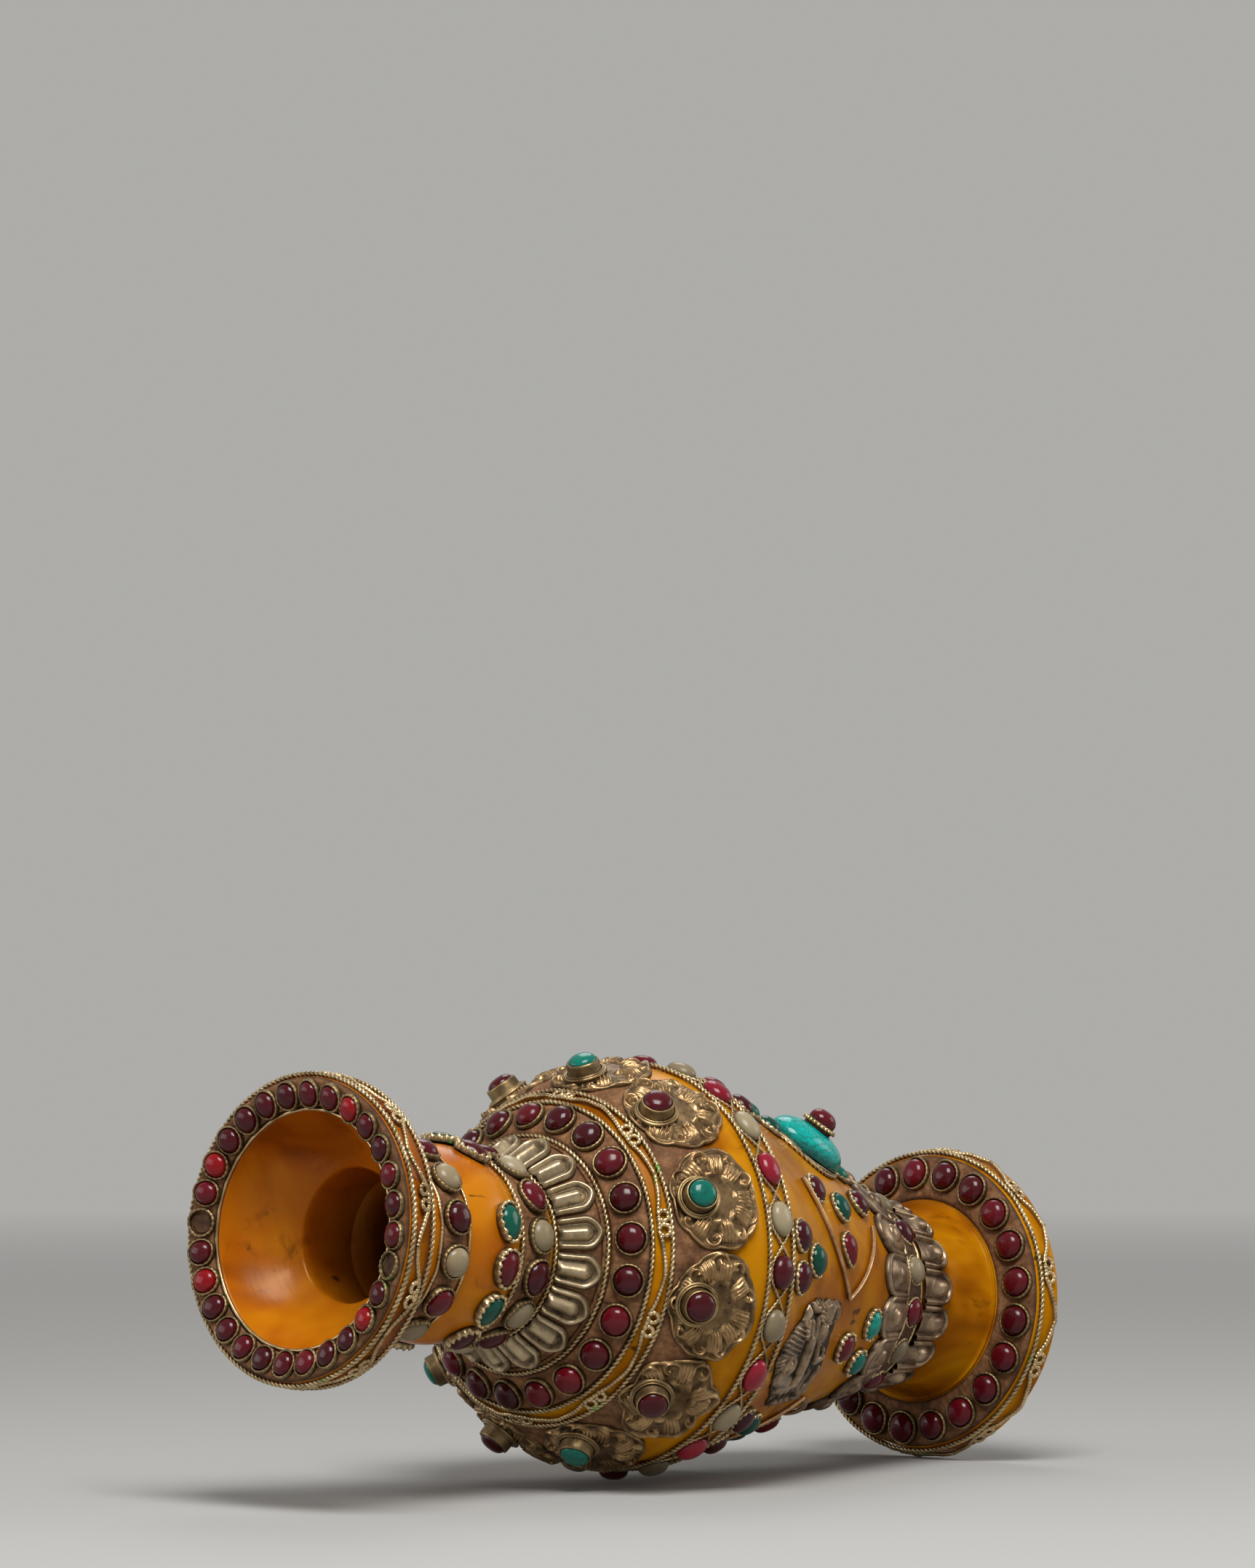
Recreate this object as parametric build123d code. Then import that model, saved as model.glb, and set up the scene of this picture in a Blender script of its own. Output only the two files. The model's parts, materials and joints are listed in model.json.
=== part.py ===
"""Jewelled amber vase with a flared mouth, a round belly and a spreading foot.

The vase stands upright on its foot: +Z is its axis, and the origin is the centre of the floor ring.
Four amber turnings carry brown paste bands, wires, stones, lotus petals and pressed medallions.
All sizes are in millimetres.
"""

from build123d import *
from math import asin, atan2, cos, degrees, hypot, pi, radians, sin, sqrt
import os

os.makedirs("parts", exist_ok=True)

# ---------------------------------------------------------------- driving dimensions
# Foot turning
FOOT_R = 45.0
FOOT_RIM_H = 8.0
FOOT_RIM_TAPER = 1.4
FOOT_FACE_W = 13.8
FOOT_FACE_RISE = 2.2
FOOT_FLARE_H = 17.0
FOOT_NECK_H = 7.0
FOOT_STEP = 0.8
FOOT_RECESS_R = 34.0
FOOT_RECESS_DEPTH = 2.0
FOOT_RECESS_SLOPE = 2.0
FOOT_FLARE_DIP = 1.0
# Body turning
WAIST_R = 24.5
CONE_H = 91.0
CONE_TOP_R = 52.5
BELLY_R = 56.5
BELLY_RISE = 25.0
SHOULDER_RISE = 25.2
SHOULDER_R = 45.6
BAND_DROP_W = 2.1
BAND_DROP_H = 2.9
BAND_W = 11.7
BAND_RISE = 8.2
PETAL_BAND_W = 8.3
PETAL_BAND_RISE = 11.2
COLLAR_H = 17.0
COLLAR_FLARE = 1.8
WALL = 7.0
FLOOR_T = 12.0
CONE_STRETCH = CONE_H / 91.0
# Torus collar turning
TORUS_H = 20.0
TORUS_BULGE = 2.4
# Mouth turning
NECK_H = 14.0
FLARE_H = 17.0
MOUTH_R = 41.2
MOUTH_RIM_H = 9.0
MOUTH_FACE_W = 9.0
MOUTH_FACE_DIP = 2.4
THROAT_R = 18.8
FUNNEL_H = 18.0
FLARE_MID = (0.42, 0.62)
FUNNEL_MID = (0.42, 0.58)
# Glued joints between turnings
JOINT_GAP = 0.1
# Trim
SEAT_GAP = 0.12
PASTE_T = 1.2
THIN_PASTE_T = 0.8
WIRE_W = 1.5
FINE_WIRE_W = 1.0
ZIGZAG_W = 1.1
ZIGZAGS = 10
# Stones: half length up the vase, half width round it, height
MOUTH_STONE = (3.4, 3.2, 2.8)
NECK_STONE = (4.2, 4.3, 3.6)
DROP_STONE = (5.2, 3.4, 3.2)
COLLAR_STONE = (4.8, 3.9, 3.4)
BAND_STONE = (4.0, 4.0, 3.6)
PLAQUE_STONE = (4.0, 4.0, 2.8)
ROW_STONE = (3.9, 5.0, 3.6)
CLUSTER_STONE = (3.7 * CONE_STRETCH, 4.3, 3.4)
DOME_STONE = (14.0 * CONE_STRETCH, 10.5, 7.0)
CREST_STONE = (4.2, 4.2, 4.0)
SIDE_STONE = (3.7 * CONE_STRETCH, 4.1, 3.2)
PENDANT_STONE = (4.2, 3.6, 3.0)
WAIST_STONE = (3.8 * CONE_STRETCH, 3.4, 3.0)
FOOT_STONE = (4.2, 4.2, 3.6)
GEM_SIDES = 8
SMALL_GEM_SIDES = 6
DOME_SIDES = 16
BEZEL_RIM = 0.8
BEZEL_H = 0.9
DOME_BEZEL_H = 1.2
DOME_BEZEL_ROOT = 4.0
CREST_CUP_R = 5.0
CREST_CUP_H = 1.6
MOUTH_STONES = 28
NECK_STONES = 14
COLLAR_STONES = 14
BAND_STONES = 21
ROW_STONES = 24
WAIST_STONES = 15
CLUSTERS = 6
FOOT_STONES = 21
# Metal appliques
PLAQUES = 11
PLAQUE_HALF_LONG = 13.0
PLAQUE_HALF_WIDE = 14.7
PLAQUE_LOBES = 9
PLAQUE_LOBE_DEPTH = 0.07
PLAQUE_EDGE_GAP = 0.4
PLAQUE_T = 1.5
COLLET_R = 4.6
COLLET_H = 3.8
COLLET_BASE_R = 6.2
COLLET_BASE_H = 1.1
COLLET_SIDES = 10
COLLET_SHIFT = 5.8
DROP_SINK = 3.2
PETALS = 17
PETAL_L = 11.2
PETAL_W = 8.6
PETAL_T = 0.9
PETAL_TONGUE = 0.8
LEAVES = 17
LEAF_L = 15.0 * CONE_STRETCH
LEAF_W = 11.4
FOOT_PETALS = 16
FOOT_PETAL_L = 14.0
FOOT_PETAL_W = 8.8
FOOT_PETAL_STAND = 0.8
FOOT_PETAL_SEAT = 0.48
V_WIRE_W = 1.2
V_STRAIGHT_STEPS = 7
V_CURVED_STEPS = 6
CREATURE_T = 2.2
# Rows at the waist: how far above the joint with the foot, and the room beside the wires
WAIST_ROW_RISE = 13.8 * CONE_STRETCH
WAIST_WIRE_GAP = 0.7
# Motifs of the cone and belly: how far above or below the top of the cone
ROW_RISE = 15.8
CLUSTER_HIGH_RISE = 4.4
CLUSTER_LOW_DROP = 6.2 * CONE_STRETCH
CREATURE_DROP = 13.7 * CONE_STRETCH
SIDE_HIGH_DROP = 15.2 * CONE_STRETCH
DROP_DROP = 29.7 * CONE_STRETCH
SIDE_MID_DROP = 30.2 * CONE_STRETCH
DOME_DROP = 33.2 * CONE_STRETCH
PENDANT_HIGH_DROP = 36.7 * CONE_STRETCH
SIDE_LOW_DROP = 47.7 * CONE_STRETCH
PENDANT_LOW_DROP = 50.2 * CONE_STRETCH
DOME_TOP_GAP = 0.6
DOME_FOOT_GAP = 1.1
# Where the motifs stand round the vase, in degrees
MOUTH_AZ = -68.9
NECK_AZ = -66.5
COLLAR_AZ = -71.0
DROP_AZ = -66.0
BAND_AZ = -72.2
PLAQUE_AZ = -60.0
ROW_AZ = -50.5
CLUSTER_AZ = -75.0
DOMES = (-18.0, 162.0)
V_ROUTE = ((7.2, 28.0), (30.5, 68.0), (42.7, 56.5), (52.2, 34.5))
DROP_SWING = 49.0
SIDE_SWING = 33.0
HIGH_SIDE_SWING = 30.5
LOW_SIDE_SWING = 23.8
PENDANT_SWING = 9.3
CLUSTER_SWING = 6.2
CREATURES = (-106.0, 74.0)
WAIST_AZ = -67.0
LEAF_AZ = -72.5
PETAL_AZ = -68.0
FOOT_PETAL_AZ = -74.5
FOOT_AZ = -70.7
ZIGZAG_AZ = -49.0

# ---------------------------------------------------------------- meridian stations (radius, height)
FLOOR_EDGE = (FOOT_R, 0.0)
FOOT_TOP = (FOOT_R - FOOT_RIM_TAPER, FOOT_RIM_H)
GROOVE = (FOOT_TOP[0] - FOOT_FACE_W, FOOT_TOP[1] + FOOT_FACE_RISE)
WAIST = (WAIST_R, GROOVE[1] + FOOT_FLARE_H)
JOINT_1 = (WAIST_R, WAIST[1] + FOOT_NECK_H)
CONE_TOP = (CONE_TOP_R, JOINT_1[1] + CONE_H)
BELLY = (BELLY_R, CONE_TOP[1] + BELLY_RISE)
SHOULDER = (SHOULDER_R, BELLY[1] + SHOULDER_RISE)
BAND_LOW = (SHOULDER[0] - BAND_DROP_W, SHOULDER[1] + BAND_DROP_H)
BAND_HIGH = (BAND_LOW[0] - BAND_W, BAND_LOW[1] + BAND_RISE)
COLLAR_LOW = (BAND_HIGH[0] - PETAL_BAND_W, BAND_HIGH[1] + PETAL_BAND_RISE)
COLLAR_HIGH = (COLLAR_LOW[0] + COLLAR_FLARE, COLLAR_LOW[1] + COLLAR_H)
TORUS_MID = (COLLAR_HIGH[0] + TORUS_BULGE, COLLAR_HIGH[1] + TORUS_H / 2)
NECK_LOW = (COLLAR_HIGH[0], COLLAR_HIGH[1] + TORUS_H)
NECK_HIGH = (NECK_LOW[0], NECK_LOW[1] + NECK_H)
RIM_LOW = (MOUTH_R, NECK_HIGH[1] + FLARE_H)
RIM_HIGH = (MOUTH_R, RIM_LOW[1] + MOUTH_RIM_H)
LIP = (MOUTH_R - MOUTH_FACE_W, RIM_HIGH[1] - MOUTH_FACE_DIP)
THROAT = (THROAT_R, LIP[1] - FUNNEL_H)
CAVITY_FLOOR_Z = JOINT_1[1] + FLOOR_T

# Heights of the motifs
WAIST_ROW_Z = JOINT_1[1] + WAIST_ROW_RISE
ROW_Z = CONE_TOP[1] + ROW_RISE
CLUSTER_HIGH_Z = CONE_TOP[1] + CLUSTER_HIGH_RISE
CLUSTER_LOW_Z = CONE_TOP[1] - CLUSTER_LOW_DROP
CREATURE_Z = CONE_TOP[1] - CREATURE_DROP
SIDE_HIGH_Z = CONE_TOP[1] - SIDE_HIGH_DROP
SIDE_MID_Z = CONE_TOP[1] - SIDE_MID_DROP
SIDE_LOW_Z = CONE_TOP[1] - SIDE_LOW_DROP
DROP_Z = CONE_TOP[1] - DROP_DROP
DOME_Z = CONE_TOP[1] - DOME_DROP
DOME_ENDS = DOME_STONE[0] + SIDE_STONE[0]
DOME_END_Z = (DOME_Z + DOME_ENDS + DOME_TOP_GAP, DOME_Z - DOME_ENDS - DOME_FOOT_GAP)
PENDANT_HIGH_Z = CONE_TOP[1] - PENDANT_HIGH_DROP
PENDANT_LOW_Z = CONE_TOP[1] - PENDANT_LOW_DROP


# ---------------------------------------------------------------- meridian helpers
def arc_circle(low, mid, high):
    """Centre and radius of the circle through three meridian stations."""
    ax, ay = low
    bx, by = mid
    cx, cy = high
    d = 2 * (ax * (by - cy) + bx * (cy - ay) + cx * (ay - by))
    a2, b2, c2 = ax * ax + ay * ay, bx * bx + by * by, cx * cx + cy * cy
    ux = (a2 * (by - cy) + b2 * (cy - ay) + c2 * (ay - by)) / d
    uy = (a2 * (cx - bx) + b2 * (ax - cx) + c2 * (bx - ax)) / d
    return ux, uy, hypot(ax - ux, ay - uy)


def seat(low, high, share, lift=0.0):
    """A place on a straight band: radius, height and the tilt of the outward normal."""
    dr, dz = high[0] - low[0], high[1] - low[1]
    length = hypot(dr, dz)
    nr, nz = dz / length, -dr / length
    r = low[0] + share * dr + lift * nr
    z = low[1] + share * dz + lift * nz
    return r, z, degrees(atan2(nz, nr))


def arc_seat(circle, z, lift=0.0):
    """A place on a convex arc band at a given height."""
    cr, cz, radius = circle
    tilt = asin((z - cz) / radius)
    return cr + (radius + lift) * cos(tilt), cz + (radius + lift) * sin(tilt), degrees(tilt)


BELLY_ARC = arc_circle(CONE_TOP, BELLY, SHOULDER)
TORUS_ARC = arc_circle(COLLAR_HIGH, TORUS_MID, NECK_LOW)


def at_height(low, high, z, lift=0.0):
    """The seat on a straight band at a given height."""
    return seat(low, high, (z - low[1]) / (high[1] - low[1]), lift)


def v(point):
    """A meridian point as a vector in the XZ plane."""
    return Vector(point[0], 0, point[1])


def arc_points(a, b, c):
    """An arc edge through three meridian points."""
    return Edge.make_three_point_arc(v(a), v(b), v(c))


def spin(shape, azimuth):
    """A copy of a shape turned about the vase's axis."""
    return Rot(0, 0, azimuth) * shape


def place(shape, spot, azimuth=0.0, turn=0.0):
    """Stands a piece on its seat: local X runs up the vase, local Z points outward."""
    r, z, tilt = spot
    t = radians(tilt)
    plane = Plane(origin=(r, 0, z), x_dir=(-sin(t), 0, cos(t)), z_dir=(cos(t), 0, sin(t)))
    return spin(plane.location * (Rot(0, 0, turn) * shape), azimuth)


def turned(points):
    """A solid of revolution from a closed meridian outline of straight runs."""
    outline = Wire.make_polygon([Vector(r, 0, z) for r, z in points], close=True)
    return Solid.revolve(Face(outline), 360, Axis.Z)


def band(low, high, start, end, thick, lift=SEAT_GAP):
    """A thin ring that lies on a straight band between two shares of its length."""
    corners = [seat(low, high, start, lift), seat(low, high, end, lift)]
    corners += [seat(low, high, end, lift + thick), seat(low, high, start, lift + thick)]
    return turned([(r, z) for r, z, tilt in corners])


def wire_ring(spot, width):
    """A ring of square section that rests on a seat."""
    r, z, tilt = spot
    t = radians(tilt)
    corners = []
    for along, out in ((-0.5, 0), (0.5, 0), (0.5, 1), (-0.5, 1)):
        outward, upward = out * cos(t) - along * sin(t), out * sin(t) + along * cos(t)
        corners.append((r + width * outward, z + width * upward))
    return turned(corners)


# ---------------------------------------------------------------- stones and relief
def tiers(outline, levels):
    """A stepped solid whose outline shrinks by each (share, height) in levels."""
    rings = [[Vector(x * share, y * share, h) for x, y in outline] for share, h in levels]
    count = len(outline)
    faces = [Face(Wire.make_polygon(list(reversed(rings[0])), close=True))]
    for low, high in zip(rings, rings[1:]):
        for k in range(count):
            m = (k + 1) % count
            faces.append(Face(Wire.make_polygon([low[k], low[m], high[m], high[k]], close=True)))
    faces.append(Face(Wire.make_polygon(rings[-1], close=True)))
    return Solid(Shell(faces))


def oval(half_long, half_wide, sides, tips=(0.0, 0.0)):
    """Points round an oval; tips lengthen its upper and lower ends into points."""
    points = []
    for k in range(sides):
        a = 2 * pi * k / sides
        stretch = 1 + (tips[0] if k == 0 else 0) + (tips[1] if 2 * k == sides else 0)
        points.append((half_long * stretch * cos(a), half_wide * sin(a)))
    return points


def gem(size, tips=(0.0, 0.0), sides=GEM_SIDES):
    """A cabochon: a low girdle under a bevelled crown."""
    half_long, half_wide, height = size
    return tiers(oval(half_long, half_wide, sides, tips), [(1.0, 0.0), (0.62, height)])


def small_gem(size):
    """A plain cabochon with fewer facets."""
    return gem(size, sides=SMALL_GEM_SIDES)


def dome(size, sides=DOME_SIDES):
    """A large cabochon with a rounded crown of three tiers."""
    half_long, half_wide, height = size
    levels = [(cos(a), height * sin(a)) for a in (0.0, pi / 6, pi / 3)] + [(0.25, height)]
    return tiers(oval(half_long, half_wide, sides), levels)


def bezel_plate(size, sides=GEM_SIDES):
    """The shallow metal cup under a stone."""
    half_long, half_wide, height = size
    return tiers(oval(half_long + BEZEL_RIM, half_wide + BEZEL_RIM, sides), [(1.0, 0.0), (0.94, BEZEL_H)])


def on_ring(shape, spot, count, first, keep=None):
    """Copies of a piece at equal angles; keep picks which places are filled."""
    places = range(count) if keep is None else keep
    return [place(shape, spot, first + 360.0 * k / count) for k in places]


def raised(spot, height):
    """The same seat, further out along its normal."""
    r, z, tilt = spot
    return r + height * cos(radians(tilt)), z + height * sin(radians(tilt)), tilt


def on_band(low, high, share):
    """A drape: maps a place on a straight band, and a lift off it, to a point in space."""
    length = hypot(high[0] - low[0], high[1] - low[1])
    radius = seat(low, high, share)[0]

    def point(along, across, lift):
        r, z, tilt = seat(low, high, share + along / length, lift)
        turn = -across / radius
        return Vector(r * cos(turn), r * sin(turn), z)
    return point


def on_arc(circle, z):
    """A drape over a convex arc band, centred at a height."""
    start = radians(arc_seat(circle, z)[2])
    radius = arc_seat(circle, z)[0]

    def point(along, across, lift):
        r, height, tilt = arc_seat(circle, circle[1] + circle[2] * sin(start + along / circle[2]), lift)
        turn = -across / radius
        return Vector(r * cos(turn), r * sin(turn), height)
    return point


def facets(rings, centres):
    """A closed solid of triangles through rings of points, with a fan at each end."""
    count = len(rings[0])
    faces = []
    for k in range(count):
        m = (k + 1) % count
        faces.append([centres[0], rings[0][m], rings[0][k]])
        faces.append([centres[1], rings[-1][k], rings[-1][m]])
        for low, high in zip(rings, rings[1:]):
            faces += [[low[k], low[m], high[m]], [low[k], high[m], high[k]]]
    return Solid(Shell([Face(Wire.make_polygon(corners, close=True)) for corners in faces]))


def draped(drape, outline, levels):
    """Pressed relief that follows a curved band: the outline shrinks by each (share, lift) in levels."""
    rings = [[drape(x * share, y * share, lift) for x, y in outline] for share, lift in levels]
    return facets(rings[1:-1], [drape(0, 0, levels[0][1]), drape(0, 0, levels[-1][1])])


def ribbon(drape, stations):
    """A bent bar that follows a curved band through stations of (along, across, half width, height)."""
    rings = []
    for k, (x, y, half, height) in enumerate(stations):
        before, after = stations[max(k - 1, 0)], stations[min(k + 1, len(stations) - 1)]
        dx, dy = after[0] - before[0], after[1] - before[1]
        run = hypot(dx, dy)
        nx, ny = -dy / run * half, dx / run * half
        left, right = (x + nx, y + ny), (x - nx, y - ny)
        low, high = 2 * SEAT_GAP, 2 * SEAT_GAP + height
        rings.append([drape(*right, low), drape(*left, low), drape(*left, high), drape(*right, high)])
    faces = []
    for low, high in zip(rings, rings[1:]):
        for k in range(4):
            m = (k + 1) % 4
            faces += [[low[k], low[m], high[m]], [low[k], high[m], high[k]]]
    for end in (rings[0][::-1], rings[-1]):
        faces += [[end[0], end[1], end[2]], [end[0], end[2], end[3]]]
    return Solid(Shell([Face(Wire.make_polygon(corners, close=True)) for corners in faces]))


def save(node, shapes):
    """Writes one node as a group of its separate solids."""
    export_step(Compound(label=node, children=list(shapes)), f"parts/{node}.step")


# ---------------------------------------------------------------- amber turnings
def joined(path):
    """Straight edges along a chain of meridian points."""
    return [Edge.make_line(v(a), v(b)) for a, b in zip(path, path[1:])]


def amber_foot():
    """The spreading foot: straight rim, sloped face, stepped groove, concave flare and hollow base."""
    step = (GROOVE[0] - FOOT_STEP, GROOVE[1] + FOOT_STEP)
    flare_mid = ((step[0] + WAIST[0]) / 2 - FOOT_FLARE_DIP, (step[1] + WAIST[1]) / 2)
    top_z = JOINT_1[1] - JOINT_GAP
    path = [WAIST, (JOINT_1[0], top_z), (0, top_z), (0, FOOT_RECESS_DEPTH)]
    path += [(FOOT_RECESS_R, FOOT_RECESS_DEPTH), (FOOT_RECESS_R + FOOT_RECESS_SLOPE, 0)]
    path += [FLOOR_EDGE, FOOT_TOP, GROOVE, (GROOVE[0], step[1]), step]
    edges = joined(path) + [arc_points(step, flare_mid, WAIST)]
    return Solid.revolve(Face(Wire(edges)), 360, Axis.Z)


def amber_body():
    """The hollow body: cone, round belly, shoulder band, petal slope and collar."""
    path = [SHOULDER, BAND_LOW, BAND_HIGH, COLLAR_LOW, COLLAR_HIGH, (THROAT_R, COLLAR_HIGH[1])]
    path += [(THROAT_R, BAND_HIGH[1]), (SHOULDER[0] - 1.3 * WALL, SHOULDER[1] - WALL / 2)]
    path += [(BELLY[0] - WALL, BELLY[1]), (CONE_TOP[0] - WALL, CONE_TOP[1])]
    path += [(WAIST_R - WALL, CAVITY_FLOOR_Z), (0, CAVITY_FLOOR_Z), (0, JOINT_1[1]), JOINT_1, CONE_TOP]
    edges = joined(path) + [arc_points(CONE_TOP, BELLY, SHOULDER)]
    return Solid.revolve(Face(Wire(edges)), 360, Axis.Z)


def amber_torus():
    """The smooth bulging collar between the body and the neck."""
    low_z = COLLAR_HIGH[1] + JOINT_GAP
    path = [NECK_LOW, (THROAT_R, NECK_LOW[1]), (THROAT_R, low_z), (COLLAR_HIGH[0], low_z)]
    edges = joined(path) + [arc_points(path[-1], TORUS_MID, NECK_LOW)]
    return Solid.revolve(Face(Wire(edges)), 360, Axis.Z)


def amber_mouth():
    """The neck and the flaring mouth, with its dished face and funnel."""
    low_z = NECK_LOW[1] + JOINT_GAP
    flare_r = NECK_HIGH[0] + (RIM_LOW[0] - NECK_HIGH[0]) * FLARE_MID[0]
    flare_mid = (flare_r, NECK_HIGH[1] + FLARE_H * FLARE_MID[1])
    funnel_r = LIP[0] - FUNNEL_MID[0] * (LIP[0] - THROAT[0])
    funnel_mid = (funnel_r, LIP[1] - FUNNEL_MID[1] * FUNNEL_H)
    edges = joined([THROAT, (THROAT_R, low_z), (NECK_LOW[0], low_z), NECK_HIGH])
    edges += [arc_points(NECK_HIGH, flare_mid, RIM_LOW)]
    edges += joined([RIM_LOW, RIM_HIGH, LIP]) + [arc_points(LIP, funnel_mid, THROAT)]
    return Solid.revolve(Face(Wire(edges)), 360, Axis.Z)


# ---------------------------------------------------------------- seats of the trim
ARC_R = BELLY_ARC[2]
PLAQUE_BACK = (PLAQUE_HALF_LONG + WIRE_W + PLAQUE_EDGE_GAP) / ARC_R
PLAQUE_TILT = asin((SHOULDER[1] - BELLY_ARC[1]) / ARC_R) - PLAQUE_BACK
PLAQUE_SPOT = arc_seat(BELLY_ARC, BELLY_ARC[1] + ARC_R * sin(PLAQUE_TILT), SEAT_GAP)
COLLET_Z = BELLY_ARC[1] + ARC_R * sin(PLAQUE_TILT + COLLET_SHIFT / ARC_R)
COLLET_SPOT = arc_seat(BELLY_ARC, COLLET_Z, PLAQUE_T + 2 * SEAT_GAP)
PLAQUE_STONE_SPOT = raised(COLLET_SPOT, COLLET_H + SEAT_GAP)
ROW_SPOT = arc_seat(BELLY_ARC, ROW_Z, SEAT_GAP)
ROW_WIRE_STEP = ROW_STONE[0] + WIRE_W
MOUTH_SPOT = seat(RIM_HIGH, LIP, 0.47, PASTE_T + 2 * SEAT_GAP)
BAND_SPOT = seat(BAND_LOW, BAND_HIGH, 0.47, PASTE_T + 2 * SEAT_GAP)
FOOT_SPOT = seat(FOOT_TOP, GROOVE, 0.42, PASTE_T + 2 * SEAT_GAP)
NECK_SPOT = seat(NECK_LOW, NECK_HIGH, 0.40, THIN_PASTE_T + 2 * SEAT_GAP)
COLLAR_SPOT = seat(COLLAR_LOW, COLLAR_HIGH, 0.50, THIN_PASTE_T + 2 * SEAT_GAP)
TORUS_SPOT = arc_seat(TORUS_ARC, TORUS_MID[1] - DROP_SINK, SEAT_GAP)


def cone_spot(z):
    """A seat on the body's lower cone at a height."""
    return at_height(JOINT_1, CONE_TOP, z, SEAT_GAP)


# ---------------------------------------------------------------- paste bands
def mouth_paste():
    return band(RIM_HIGH, LIP, 0.01, 0.87, PASTE_T)


def neck_paste():
    return band(NECK_LOW, NECK_HIGH, 0.07, 0.74, THIN_PASTE_T)


def collar_paste():
    return band(COLLAR_LOW, COLLAR_HIGH, 0.11, 0.89, THIN_PASTE_T)


def shoulder_paste():
    return band(BAND_LOW, BAND_HIGH, 0.13, 0.85, PASTE_T)


def petal_ground():
    return band(BAND_HIGH, COLLAR_LOW, 0.08, 0.92, THIN_PASTE_T)


def foot_paste():
    return band(FOOT_TOP, GROOVE, 0.02, 0.97, PASTE_T)


# ---------------------------------------------------------------- wires
def mouth_rim_wires():
    return [wire_ring(seat(RIM_LOW, RIM_HIGH, share, SEAT_GAP), WIRE_W) for share in (0.1, 0.9)]


def mouth_lip_wire():
    return [wire_ring(seat(RIM_HIGH, LIP, 0.94, SEAT_GAP), FINE_WIRE_W)]


def neck_wires():
    return [wire_ring(seat(NECK_LOW, NECK_HIGH, share, SEAT_GAP), FINE_WIRE_W) for share in (0.02, 0.80)]


def collar_wires():
    return [wire_ring(seat(COLLAR_LOW, COLLAR_HIGH, share, SEAT_GAP), WIRE_W) for share in (0.05, 0.95)]


def shoulder_wires():
    rings = [wire_ring(seat(BAND_LOW, BAND_HIGH, share, SEAT_GAP), WIRE_W) for share in (0.06, 0.92)]
    return rings + [wire_ring(arc_seat(BELLY_ARC, SHOULDER[1] - WIRE_W / 2, SEAT_GAP), WIRE_W)]


def belly_wires():
    steps = (ROW_WIRE_STEP, -ROW_WIRE_STEP)
    return [wire_ring(arc_seat(BELLY_ARC, ROW_Z + step, SEAT_GAP), WIRE_W) for step in steps]


def waist_wires():
    step = WAIST_STONE[0] + WAIST_WIRE_GAP
    return [wire_ring(cone_spot(WAIST_ROW_Z + side * step), FINE_WIRE_W) for side in (-1, 1)]


def foot_wire():
    return [wire_ring(seat(FLOOR_EDGE, FOOT_TOP, 0.88, SEAT_GAP), WIRE_W)]


def zigzag(low, high, start, end):
    """A wire bent in a regular zigzag between two shares of a band."""
    pitch = 360.0 / ZIGZAGS
    drape = on_band(low, high, (start + end) / 2)
    rise = (end - start) * hypot(high[0] - low[0], high[1] - low[1]) / 2 - ZIGZAG_W / 2
    reach = radians(pitch / 2) * seat(low, high, (start + end) / 2)[0] - SEAT_GAP
    half = ZIGZAG_W / 2
    turns = [(-1, -1), (0, -0.5), (1, 0), (0, 0.5), (-1, 1)]
    bend = ribbon(drape, [(rise * x, reach * y, half, ZIGZAG_W) for x, y in turns])
    return [spin(bend, ZIGZAG_AZ + pitch * k) for k in range(ZIGZAGS)]


# ---------------------------------------------------------------- pressed metal
def petal_outline(length, width):
    """A lotus petal: straight sides and a round lower end."""
    middle, half = (width - length) / 2, width / 2
    bow = [(middle + half * cos(a), half * sin(a)) for a in (pi * k / 4 for k in range(2, 7))]
    return [(length / 2, half)] + bow + [(length / 2, -half)]


def lotus_petal(length, width):
    """A pressed petal: a rim, a sunk line inside it and a raised tongue."""
    levels = [(1.0, 0.0), (0.92, PETAL_T), (0.66, 0.5 * PETAL_T), (0.5, PETAL_T + PETAL_TONGUE)]
    return tiers(petal_outline(length, width), levels)


def shoulder_petals():
    spot = seat(BAND_HIGH, COLLAR_LOW, 0.5, THIN_PASTE_T + 2 * SEAT_GAP)
    return on_ring(lotus_petal(PETAL_L, PETAL_W), spot, PETALS, PETAL_AZ)


def foot_petals():
    """Petals that hang from the lower waist wire and stand clear of the foot's flare."""
    top_z = WAIST_ROW_Z - WAIST_STONE[0] - 2 * WAIST_WIRE_GAP - FINE_WIRE_W
    high = cone_spot(top_z)
    low = (WAIST[0] + FOOT_PETAL_STAND, top_z - FOOT_PETAL_L)
    spot = seat(low, high[:2], FOOT_PETAL_SEAT)
    return on_ring(lotus_petal(FOOT_PETAL_L, FOOT_PETAL_W), spot, FOOT_PETALS, FOOT_PETAL_AZ)


def waist_leaves():
    """Puffed leaves that stand up from the upper waist wire, each with a round boss."""
    low_z = WAIST_ROW_Z + WAIST_STONE[0] + 2 * WAIST_WIRE_GAP + FINE_WIRE_W
    leaf = tiers(oval(0.86 * LEAF_L / 2, LEAF_W / 2, GEM_SIDES, (0.16, 0.16)), [
        (1.0, 0.0), (0.8, PETAL_T), (0.36, PETAL_T + PETAL_TONGUE)])
    return on_ring(leaf, cone_spot(low_z + LEAF_L / 2), LEAVES, LEAF_AZ)


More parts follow.
